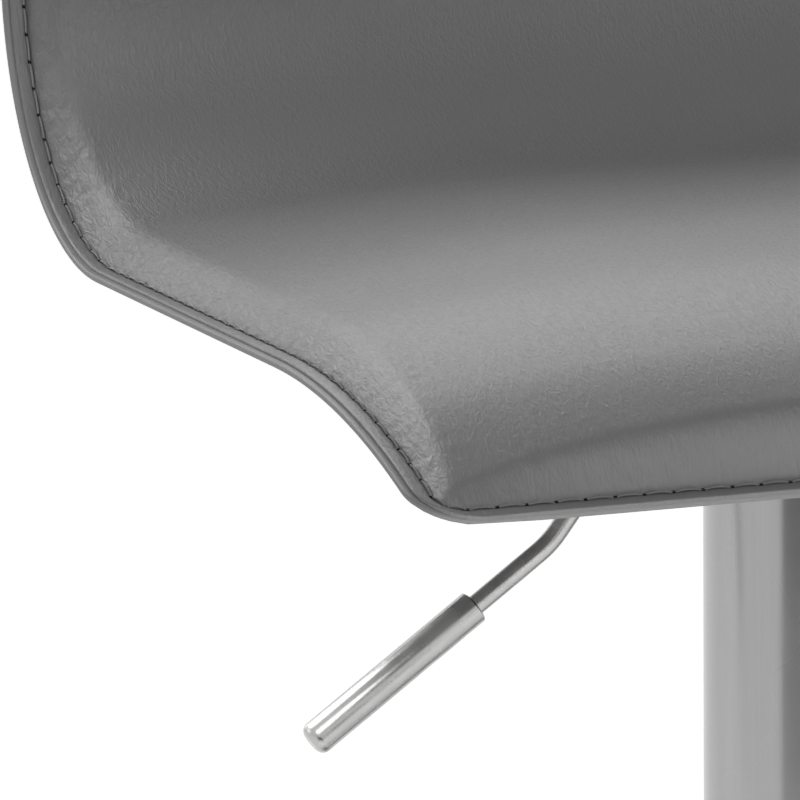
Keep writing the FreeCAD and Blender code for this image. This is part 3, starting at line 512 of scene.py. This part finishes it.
padShape = {
    "crown": 23.0,
    "seamLevel": 2.9,
    "floorLevel": 1.55,
    "floorMargin": 7.3,
    # Slope up to the shoulder's start, its end, the share of the crown there, the crown's reach
    "sideShoulder": (4.0, 13.8, 0.48, 130.0),
    "endShoulder": (6.2, 18.8, 0.80, 48.0),
    "crownCurve": 1.7,
    "narrowing": 0.20,     # the side slopes are this much narrower at the top of the back
    "backStart": 0.62,     # where the back begins, as a share of the wave's length
    "backRise": 0.2,
    "cornerFall": 0.55,    # the shoulders run down towards the four corners
    "cornerReach": 40.0,
    "puff": 1.0,           # how high the pad stands at once beside the seam
    "puffReach": 0.7,
    "hollowPlace": 0.66,   # the middle of the inward curve, as a share of the wave's length
    "hollowReach": 95.0,
    "hollowLeast": 0.35,
    "wrinkleReach": 15.0,
    "wrinkleLeast": 0.15,
    "edgeSteps": [0.25, 0.35, 0.5, 0.65, 0.8, 0.95, 1.1],
    "pitch": 1.3,
}
foldShape = {
    "puckerDepth": 0.35,
    "puckerReach": 2.5,
    "puckerStart": 0.6,
    "depth": 0.2,
    "width": 4.6,
    "length": 15.0,
    "start": 2.0,          # the folds rise over this distance in from the seam
    "reach": 13.0,
    "furthest": 52.0,
    "endStrength": 0.35,   # folds at the front and back edges, against those at the sides
    "slant": 0.8,          # how far a fold may lean as it runs in from the seam
    "slantLength": 45.0,
    "fineRatio": 2.1,
    "fineShare": 0.5,
    "middle": 0.35,        # the folds' average height, taken off so that they don't lift the pad
    "waveDepth": 0.9,
    "waveLength": 38.0,
    "waveReach": 40.0,
    "waveSeed": 5.0,
    "seeds": {"left": 3.0, "right": 11.0, "front": 19.0, "back": 27.0},
}
simSettings = {
    "edgeSteps": [1.0, 1.6, 2.2],
    "pitch": 3.0,
    "startShare": 0.985,  # the pad swells, so it starts a little lower
    "pressure": 1.0,
    "foamHold": 0.30,     # how firmly the foam keeps the skin in place
    "slack": -0.012,      # spare cloth beside the seam, where the edge curves inwards
    "slackReach": 12.0,
    "bending": 1.0,
    "frames": 20,
    "cap": 0.15,          # no point moves by more than this
}


def cornerFall(distance):
    return 1 - padShape["cornerFall"] * np.exp(-distance / padShape["cornerReach"])


def crownShare(distance, shoulder, fall):
    # A plain slope that rounds off at the shoulder, on a slow rise to the middle of the seat
    start, end, share, reach = shoulder
    start, end, share = start * fall, end * fall, share * fall
    part = np.clip((distance - start) / (end - start), 0, 1)
    slope = np.minimum(distance, start) + (end - start) * (part - part ** 3 + part ** 4 / 2)
    slow = 1 - (1 - np.clip(distance / reach, 0, 1)) ** padShape["crownCurve"]
    return share * slope / ((start + end) / 2) + (1 - share) * slow


def padLevels(x, along, crown):
    rim, fromSide, fromEnd = rimDistances(x, along, seatShape["stitchMargin"])
    rim, fromSide, fromEnd = (np.maximum(d, 0) for d in (rim, fromSide, fromEnd))
    climb = np.clip((along / waveLength - padShape["backStart"]) / padShape["backRise"], 0, 1)
    narrow = 1 - padShape["narrowing"] * climb * climb * (3 - 2 * climb)
    rise = (crownShare(fromSide / narrow, padShape["sideShoulder"], cornerFall(fromEnd))
            * crownShare(fromEnd, padShape["endShoulder"], cornerFall(fromSide)))
    puff = padShape["puff"] * (1 - np.exp(-rim / padShape["puffReach"]))
    return padShape["seamLevel"] + puff + (crown - padShape["seamLevel"] - padShape["puff"]) * rise


def hollowness(along):
    # 1 where the wave curves inwards and the skin has cloth to spare, less elsewhere
    least = padShape["hollowLeast"]
    middle = padShape["hollowPlace"] * waveLength
    return least + (1 - least) * np.exp(-((along - middle) / padShape["hollowReach"]) ** 2)


def closedPad(points, x, along, rows, columns):
    # The pad's skin, a short wall down inside the hem, and a flat underside
    rim = rimOrder(rows, columns)
    rimX, rimAlong = x.ravel()[rim], along.ravel()[rim]
    shrink = padShape["floorMargin"] - seatShape["stitchMargin"]
    floorX = rimX * (1 - shrink / halfWidth)
    floorAlong = waveLength / 2 + (rimAlong - waveLength / 2) * (1 - 2 * shrink / waveLength)
    floor = seatPoints(floorX, floorAlong, padShape["floorLevel"])
    first = rows * columns
    faces = gridFaces(rows, columns)
    total = len(rim)
    for k in range(total):
        n = (k + 1) % total
        faces.append((first + k, first + n, rim[n], rim[k]))
    # The underside: one strip per row, and a face with many corners at each end
    rightStart, backStart, leftStart = columns - 1, columns + rows - 2, 2 * columns + rows - 3
    faces.append([first + k for k in range(columns)][::-1]
                 + [first + total - 1, first + columns])
    for j in range(1, rows - 2):
        faces.append((first + total - j, first + total - j - 1,
                      first + rightStart + j + 1, first + rightStart + j))
    faces.append([first + leftStart + 1] + [first + k for k in range(leftStart, backStart - 1, -1)]
                 + [first + backStart - 1])
    return np.concatenate([points.reshape(-1, 3), floor]), faces


def simulatedMove():
    # Cloth blown up over the foam while its seam is held; returns how far each grid point moved
    x, along, stopsX, stopsAlong = seatGrid(seatShape["stitchMargin"], simSettings["edgeSteps"],
                                            simSettings["pitch"], simSettings["pitch"])
    rows, columns = x.shape
    startCrown = padShape["crown"] * simSettings["startShare"]
    start = seatPoints(x, along, padLevels(x, along, startCrown))
    points, faces = closedPad(start, x, along, rows, columns)
    mesh = bpy.data.meshes.new("blownPad")
    mesh.from_pydata(points.tolist(), [], faces)
    blown = bpy.data.objects.new("blownPad", mesh)
    bpy.context.scene.collection.objects.link(blown)
    held = blown.vertex_groups.new(name="held")
    held.add(list(range(rows * columns)), simSettings["foamHold"], "REPLACE")
    held.add(rimOrder(rows, columns) + list(range(rows * columns, len(points))), 1.0, "REPLACE")
    tight = blown.vertex_groups.new(name="tight")
    rim = np.maximum(rimDistances(x, along, seatShape["stitchMargin"])[0], 0)
    spare = (hollowness(along) * np.exp(-(rim / simSettings["slackReach"]) ** 2)).ravel()
    for k in range(rows * columns):
        tight.add([k], 1 - float(spare[k]), "REPLACE")
    tight.add(list(range(rows * columns, len(points))), 1.0, "REPLACE")
    cloth = blown.modifiers.new("cloth", "CLOTH")
    cloth.settings.use_pressure = True
    cloth.settings.uniform_pressure_force = simSettings["pressure"]
    cloth.settings.effector_weights.gravity = 0
    cloth.settings.vertex_group_mass = "held"
    cloth.settings.vertex_group_shrink = "tight"
    cloth.settings.shrink_min = simSettings["slack"]
    cloth.settings.shrink_max = 0
    cloth.settings.bending_stiffness = simSettings["bending"]
    cloth.collision_settings.use_collision = False
    for step in range(1, simSettings["frames"] + 1):
        bpy.context.scene.frame_set(step)
    evaluated = blown.evaluated_get(bpy.context.evaluated_depsgraph_get())
    places = np.zeros(len(points) * 3)
    evaluated.data.vertices.foreach_get("co", places)
    moved = places.reshape(-1, 3)[:rows * columns].reshape(rows, columns, 3) - start
    bpy.context.scene.frame_set(1)
    bpy.data.objects.remove(blown)
    size = np.linalg.norm(moved, axis=-1, keepdims=True) + 1e-9
    cap = simSettings["cap"] * mm
    return moved * np.tanh(size / cap) * cap / size, stopsX, stopsAlong


def smoothBetween(values, coarse, fine, axis):
    # Catmull-Rom curves through the coarse grid's values, read at the fine grid's stops
    values = np.moveaxis(values, axis, 0)
    position = np.interp(fine, coarse, np.arange(len(coarse)))
    whole = np.minimum(position.astype(int), len(coarse) - 2)
    part = (position - whole).reshape((-1,) + (1,) * (values.ndim - 1))
    before, a, b, after = (values[np.clip(whole + k, 0, len(coarse) - 1)] for k in (-1, 0, 1, 2))
    mixed = a + 0.5 * part * (b - before + part * (2 * before - 5 * a + 4 * b - after
                                                  + part * (3 * (a - b) + after - before)))
    return np.moveaxis(mixed, 0, axis)


def foldLevels(x, along):
    # Puckers at the needle holes, short folds that run in from the seam, and slow waves
    shape, seeds = foldShape, foldShape["seeds"]
    rim, fromSide, fromEnd = rimDistances(x, along, seatShape["stitchMargin"])
    nearSide, nearEnd = holePull(x, along)
    pucker = (nearSide * np.exp(-fromSide / shape["puckerReach"])
              + nearEnd * np.exp(-fromEnd / shape["puckerReach"]))
    levels = -shape["puckerDepth"] * pucker * np.clip(rim / shape["puckerStart"], 0, 1)
    flat = levels.ravel()
    flatX, flatAlong = x.ravel(), along.ravel()
    side, end, hollow = fromSide.ravel(), fromEnd.ravel(), hollowness(along).ravel()
    for k in np.nonzero(np.minimum(side, end) < shape["furthest"])[0]:
        sideSeed = seeds["left"] if flatX[k] < 0 else seeds["right"]
        endSeed = seeds["front"] if flatAlong[k] < waveLength / 2 else seeds["back"]
        for inward, across, seed, strength in (
                (side[k], flatAlong[k], sideSeed, hollow[k]),
                (end[k], flatX[k], endSeed, shape["endStrength"])):
            if inward > shape["furthest"]:
                continue
            fade = math.exp(-inward / shape["reach"]) * min(1, max(inward, 0) / shape["start"])
            slant = shape["slant"] * inward * noise.noise(
                Vector((across / shape["slantLength"], seed, 0)))
            spot = Vector(((across + slant) / shape["width"], inward / shape["length"], seed))
            fine = abs(noise.noise(spot * shape["fineRatio"]))
            crease = abs(noise.noise(spot)) + shape["fineShare"] * fine - shape["middle"]
            wave = noise.noise(Vector((across / shape["waveLength"], inward / shape["waveReach"],
                                       seed + shape["waveSeed"])))
            flat[k] += fade * (shape["depth"] * strength * crease + shape["waveDepth"] * wave)
    return flat.reshape(x.shape)


def makePad():
    x, along, stopsX, stopsAlong = seatGrid(seatShape["stitchMargin"], padShape["edgeSteps"],
                                            padShape["pitch"], padShape["pitch"])
    rows, columns = x.shape
    levels = padLevels(x, along, padShape["crown"]) + foldLevels(x, along)
    points = seatPoints(x, along, levels)
    moved, coarseX, coarseAlong = simulatedMove()
    moved = smoothBetween(moved, coarseAlong, stopsAlong, 0)
    points = points + smoothBetween(moved, coarseX, stopsX, 1)
    print("stage: pad simulated, moved at most", round(np.abs(moved).max() / mm, 2), "mm")
    points, faces = closedPad(points, x, along, rows, columns)
    rim = np.maximum(rimDistances(x, along, seatShape["stitchMargin"])[0], 0)
    least = padShape["wrinkleLeast"]
    fade = np.exp(-(rim / padShape["wrinkleReach"]) ** 2)
    wrinkled = least + (1 - least) * hollowness(along) * fade
    places = np.zeros((len(points), 3))
    places[:rows * columns] = np.stack([x, along, wrinkled], -1).reshape(-1, 3)
    pad = makePiece("padded_cover", points, faces, "seat", vinyl,
                    {"seatPlace": places})
    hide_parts("top_cover", "foam_pad")


makePad()
print("stage: pad made")


def ringLoop(margin, spacing, cornerSteps=14):
    # A closed line round the seat at one margin; every margin gives the same number of points
    radius, centres = cornerCentres(margin)
    lengths = [waveLength, 2 * halfWidth]
    places = []
    for k, centre in enumerate(centres):
        out = k * math.pi / 2
        places += [offCentre(centre, radius, out - math.pi / 2 * (1 - i / cornerSteps))
                   for i in range(cornerSteps)]
        steps = round(lengths[k % 2] / spacing)
        places += [offCentre(between(centre, centres[(k + 1) % 4], i / steps), radius, out)
                   for i in range(steps)]
    x, along = zip(*places)
    return np.array(x), np.array(along)


hemShape = {
    # Margins and levels of the hem's section, from its lower outside corner over the top
    "section": [(2.7, 1.4), (2.3, 1.5), (2.05, 1.75), (1.95, 2.1), (1.95, 2.6), (2.02, 3.0),
                (2.25, 3.24), (2.7, 3.33), (3.2, 3.38), (4.2, 3.38), (5.2, 3.34), (5.9, 3.24),
                (6.3, 3.1), (6.65, 2.95), (7.0, 2.85), (7.25, 2.6), (7.3, 2.0), (7.2, 1.45)],
    "spacing": 1.5,
    "width": 4.0,           # a place nearer to a side than this has the side's needle holes
    "pull": 0.25,           # how far the thread draws the inner edge down at a needle hole
    "pullStart": 4.5,
    "pullWidth": 2.0,
    "footLevel": 1.6,
    "unevenness": 0.08,
    "unevenSizes": (9, 3),  # along the edge and across it
    "wrinkles": 0.3,
}


def makeHem():
    shape = hemShape
    lengthwise, crosswise = shape["unevenSizes"]
    rings, places = [], []
    for margin, level in shape["section"]:
        x, along = ringLoop(margin, shape["spacing"])
        nearSide, nearEnd = holePull(x, along)
        fromSide = halfWidth - margin - np.abs(x)
        pull = np.where(fromSide < shape["width"], nearSide, nearEnd)
        above = np.clip(level - shape["footLevel"], 0, 1)
        inner = np.clip((margin - shape["pullStart"]) / shape["pullWidth"], 0, 1) * above
        spots = [(a / lengthwise, b / lengthwise, margin / crosswise) for a, b in zip(x, along)]
        uneven = np.array([noise.noise(Vector(spot)) for spot in spots])
        shift = uneven * shape["unevenness"] * above - shape["pull"] * pull * inner
        rings.append(seatPoints(x, along, level + shift))
        places.append(np.stack([x, along, shape["wrinkles"] + 0 * x], -1))
    count, sides = len(rings[0]), len(rings)
    faces = []
    for s in range(sides):
        t = (s + 1) % sides
        for k in range(count):
            n = (k + 1) % count
            faces.append((s * count + k, s * count + n, t * count + n, t * count + k))
    hem = makePiece("sewn_hem", np.concatenate(rings), faces, "seat", vinyl,
                    {"seatPlace": np.concatenate(places)})
    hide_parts("edge_hem")


lipShape = {
    "thickness": 2.2,
    "round": 0.9,
    "edgeSteps": [0.08, 0.16, 0.26, 0.4, 0.6, 1.2, 3.0, 6.0],
    "pitchX": 24.0,
    "pitchAlong": 3.0,
}


def makeLip():
    # The lower cover: two faces that meet in a rounded edge all round
    shape = lipShape
    x, along = seatGrid(0, shape["edgeSteps"], shape["pitchX"], shape["pitchAlong"])[:2]
    rows, columns = x.shape
    rim = rimDistances(x, along, 0)[0]
    bite = shape["round"] - np.clip(rim, 0, shape["round"])
    drop = shape["round"] - np.sqrt(shape["round"] ** 2 - bite ** 2)
    top = seatPoints(x, along, shape["thickness"] - drop).reshape(-1, 3)
    low = seatPoints(x, along, drop).reshape(-1, 3)
    outer = rimOrder(rows, columns)
    top[outer] = (top[outer] + low[outer]) / 2
    inner = np.setdiff1d(np.arange(len(low)), outer)
    lowIndex = np.arange(len(low))
    lowIndex[inner] = len(top) + np.arange(len(inner))
    lowIndex = lowIndex.tolist()
    topFaces = gridFaces(rows, columns)
    lowFaces = [tuple(lowIndex[k] for k in reversed(face)) for face in topFaces]
    lip = makePiece("bottom_cover", np.concatenate([top, low[inner]]), topFaces + lowFaces,
                    "seat", backing)
    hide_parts("underside_cover")


makeHem()
makeLip()
print("stage: hem and bottom cover made")


def plyTube(line, sideways, up, first):
    # A thin closed tube round a line, as points and faces whose numbers start at the first
    sides, radius = stitchShape["sides"], stitchShape["plyRadius"] * mm
    points, faces = [], []
    for i, centre in enumerate(line):
        for s in range(sides):
            angle = 2 * math.pi * s / sides
            points.append(centre + radius * (math.cos(angle) * sideways[i]
                                             + math.sin(angle) * up[i]))
    last = first + (len(line) - 1) * sides
    for ring in range(first, last, sides):
        for s in range(sides):
            n = (s + 1) % sides
            faces.append((ring + s, ring + sides + s, ring + sides + n, ring + n))
    faces.append(tuple(first + s for s in range(sides)))
    faces.append(tuple(last + s for s in reversed(range(sides))))
    return points, faces


def makeStitches():
    shape = stitchShape
    random.seed(shape["seed"])
    points, faces = [], []
    share = np.linspace(0, 1, shape["steps"] + 1)
    arch = np.sin(np.pi * share) ** 0.5
    level = shape["level"] - shape["dive"] + (shape["dive"] + shape["lift"]) * arch
    for start, end in zip(holes, np.roll(holes, -1, axis=0)):
        x, along = between(start, end, share)
        centre = seatPoints(x, along, level)
        up = (seatPoints(x, along, level + 1.0) - centre) / mm
        forward = np.gradient(centre, axis=0)
        forward /= np.linalg.norm(forward, axis=1, keepdims=True)
        sideways = np.cross(forward, up)
        sideways /= np.linalg.norm(sideways, axis=1, keepdims=True)
        up = np.cross(sideways, forward)
        phase = random.uniform(0, 2 * math.pi)
        for ply in (0, 1):
            turn = phase + 2 * np.pi * shape["turns"] * share + ply * np.pi
            offset = shape["plyOffset"] * mm
            line = centre + offset * (np.cos(turn)[:, None] * sideways
                                      + np.sin(turn)[:, None] * up)
            plyPoints, plyFaces = plyTube(line, sideways, up, len(points))
            points += plyPoints
            faces += plyFaces
    makePiece("stitches", np.array(points), faces, "seat", thread)


def makeHoleShades():
    # A small dark ellipsoid with flat ends at each hole, longer along the seam: painted shade
    # where the hole's shadow falls
    shape = stitchShape
    around, rings = shape["holeSides"], shape["holeRings"]
    ahead, aside, depth = shape["holeSize"]
    points, faces = [], []
    for hole, following in zip(holes, np.roll(holes, -1, axis=0)):
        span = (following - hole) / np.linalg.norm(following - hole)
        first = len(points)
        for j in range(1, rings):
            tilt = math.pi * j / rings
            for i in range(around):
                angle = 2 * math.pi * i / around
                forward = ahead * math.sin(tilt) * math.cos(angle)
                across = aside * math.sin(tilt) * math.sin(angle)
                x = hole[0] + span[0] * forward + span[1] * across
                along = hole[1] + span[1] * forward - span[0] * across
                level = shape["level"] - shape["holeDrop"] + depth * math.cos(tilt)
                points.append(seatPoints(np.array(x), np.array(along), level))
        last = first + (rings - 2) * around
        for ring in range(first, last, around):
            for i in range(around):
                n = (i + 1) % around
                faces.append((ring + i, ring + n, ring + around + n, ring + around + i))
        faces.append(tuple(first + i for i in reversed(range(around))))
        faces.append(tuple(last + i for i in range(around)))
    makePiece("painted_hole_shades", np.array(points), faces, "seat", holeShade)


makeStitches()
makeHoleShades()
print("stage: stitches made")

# Studio: pale floor, soft lamps, and a white surround for the camera and the metal
studio = {
    "floorHalf": 20.0,
    "floorColour": "#dcdcdc",
    "floorGlow": (0.68, 0.96),   # painted shade: the glow is dimmer near the base, a darker ring round it, so that its shadow shows
    "floorFade": (0.3, 1.6),
    "worldLight": 0.05,
    "worldSeen": 1.0,
    "flagDirection": 20.4,   # degrees to the left of the seat's front, where the camera stands
    "flagDistance": 1.0,
    "flagWidth": 0.86,
    "flagFoot": 0.16,
    "flagTop": 0.54,
    "flagColour": "#101010",
}


def stagePiece(name, corners, materialName):
    # A flat piece of the studio, with an empty material
    mesh = bpy.data.meshes.new(name)
    mesh.from_pydata(corners, [], [(0, 1, 2, 3)])
    piece = bpy.data.objects.new(name, mesh)
    bpy.context.scene.collection.objects.link(piece)
    material = bpy.data.materials.new(materialName)
    material.use_nodes = True
    material.node_tree.nodes.clear()
    mesh.materials.append(material)
    return piece, material.node_tree


def seenByRays(tree):
    # 1 for what the camera sees, straight or in metal and glass, and 0 for light on the part
    rays = addNode(tree, "LightPath")
    shiny = addNode(tree, "Math", {0: rays.outputs["Is Glossy Ray"],
                                   1: rays.outputs["Is Transmission Ray"]}, operation="MAXIMUM")
    return addNode(tree, "Math", {0: rays.outputs["Is Camera Ray"], 1: shiny.outputs[0]},
                   operation="MAXIMUM").outputs[0]


def makeFloor():
    # Paper that glows for the camera, so that the part's shadow tells it from the world; its glow
    # is painted dimmer near the base, a painted shade round the part on top of its real shadow
    half = studio["floorHalf"]
    corners = [(-half, -half, 0), (half, -half, 0), (half, half, 0), (-half, half, 0)]
    tree = stagePiece("floor", corners, "paperFloor")[1]
    matte = addNode(tree, "BsdfDiffuse", {"Color": linear(studio["floorColour"])})
    object3d = addNode(tree, "TexCoord").outputs["Object"]
    distance = addNode(tree, "VectorMath", {0: object3d}, operation="LENGTH").outputs["Value"]
    near, far = studio["floorFade"]
    dim, bright = studio["floorGlow"]
    fade = addNode(tree, "MapRange", {"Value": distance, "From Min": near, "From Max": far,
                                      "To Min": dim, "To Max": bright})
    glow = addNode(tree, "Emission", {"Color": (1, 1, 1, 1), "Strength": fade.outputs[0]})
    both = addNode(tree, "AddShader", {0: matte.outputs[0], 1: glow.outputs[0]})
    pick = addNode(tree, "MixShader", {0: seenByRays(tree), 1: matte.outputs[0],
                                       2: both.outputs[0]})
    addNode(tree, "OutputMaterial", {"Surface": pick.outputs[0]})


def makeFlag():
    # Black felt under the camera: the dark stripe down the polished column is its reflection
    turn = math.radians(studio["flagDirection"])
    centre = Vector((-math.sin(turn), -math.cos(turn), 0)) * studio["flagDistance"]
    side = Vector((math.cos(turn), -math.sin(turn), 0)) * studio["flagWidth"] / 2
    low, high = Vector((0, 0, studio["flagFoot"])), Vector((0, 0, studio["flagTop"]))
    flag, tree = stagePiece("flag", [centre - side + low, centre + side + low,
                                     centre + side + high, centre - side + high], "blackFelt")
    felt = addNode(tree, "BsdfDiffuse", {"Color": linear(studio["flagColour"])})
    addNode(tree, "OutputMaterial", {"Surface": felt.outputs[0]})
    flag.visible_camera = flag.visible_diffuse = flag.visible_shadow = False


def makeWorld():
    world = bpy.data.worlds.new("studio")
    bpy.context.scene.world = world
    world.use_nodes = True
    tree = world.node_tree
    tree.nodes.clear()
    soft, white = (addNode(tree, "Background", {"Color": (1, 1, 1, 1), "Strength": studio[key]})
                   for key in ("worldLight", "worldSeen"))
    pick = addNode(tree, "MixShader", {0: seenByRays(tree), 1: soft.outputs[0],
                                       2: white.outputs[0]})
    addNode(tree, "OutputWorld", {"Surface": pick.outputs[0]})


seatCentre = (0, 0, 0.55)
lamps = [  # name, place, aim, width and height in metres, watts, seen in gloss
    ("frontSoftbox", (-0.62, -1.67, 2.16), seatCentre, 1.1, 1.1, 19.0, True),
    ("lowRightSoftbox", (0.98, -2.13, 1.05), seatCentre, 1.1, 1.1, 13.5, True),
    ("lowLeftSoftbox", (-2.20, 0.82, 1.05), seatCentre, 1.1, 1.1, 4.2, True),
    ("lowBackLeftSoftbox", (-0.98, 2.13, 1.05), seatCentre, 1.1, 1.1, 3.6, True),
    ("backStrip", (0.76, 2.05, 1.53), seatCentre, 1.3, 0.6, 2.0, True),
    ("leftPanel", (-0.45, 0.40, 1.10), (0, 0.05, 0.55), 0.5, 0.5, 3.9, True),
    ("backPanel", (0.10, 0.75, 1.20), (0, 0.05, 0.55), 0.8, 0.4, 2.5, True),
    ("lowFrontPanel", (-0.24, -0.66, 0.12), (-0.05, -0.19, 0.55), 0.6, 0.4, 6.5, False),
]


def makeLamps():
    for name, place, aim, width, height, watts, seenInGloss in lamps:
        data = bpy.data.lights.new(name, "AREA")
        data.shape = "RECTANGLE"
        data.size, data.size_y, data.energy = width, height, watts
        lamp = bpy.data.objects.new(name, data)
        lamp.location = place
        lamp.visible_glossy = seenInGloss
        lamp.rotation_euler = (Vector(aim) - Vector(place)).to_track_quat("-Z", "Y").to_euler()
        bpy.context.scene.collection.objects.link(lamp)


cameraSettings = {
    "azimuth": 20.4067,     # degrees to the left of the seat's front
    "elevation": 11.4631,
    "roll": -0.4761,
    "aim": (-112.163, 53.577, 547.656),
    "distance": 3000.0,
    "lens": 434.20,
    "sensor": 36.0,
}


def makeCamera():
    azimuth, elevation, roll = (math.radians(cameraSettings[key])
                                for key in ("azimuth", "elevation", "roll"))
    back = Vector((-math.sin(azimuth) * math.cos(elevation),
                   -math.cos(azimuth) * math.cos(elevation), math.sin(elevation)))
    level = Vector((math.cos(azimuth), -math.sin(azimuth), 0))
    upright = back.cross(level)
    right = level * math.cos(roll) + upright * math.sin(roll)
    up = upright * math.cos(roll) - level * math.sin(roll)
    data = bpy.data.cameras.new("camera")
    data.lens, data.sensor_width = cameraSettings["lens"], cameraSettings["sensor"]
    camera = bpy.data.objects.new("camera", data)
    place = (Vector(cameraSettings["aim"]) + back * cameraSettings["distance"]) * mm
    turned = Matrix((right, up, back)).transposed().to_4x4()
    camera.matrix_world = Matrix.Translation(place) @ turned
    bpy.context.scene.collection.objects.link(camera)
    bpy.context.scene.camera = camera


makeFloor()
makeFlag()
makeWorld()
makeLamps()
makeCamera()
bpy.context.scene.view_settings.view_transform = "Standard"
print("stage: studio and camera set")
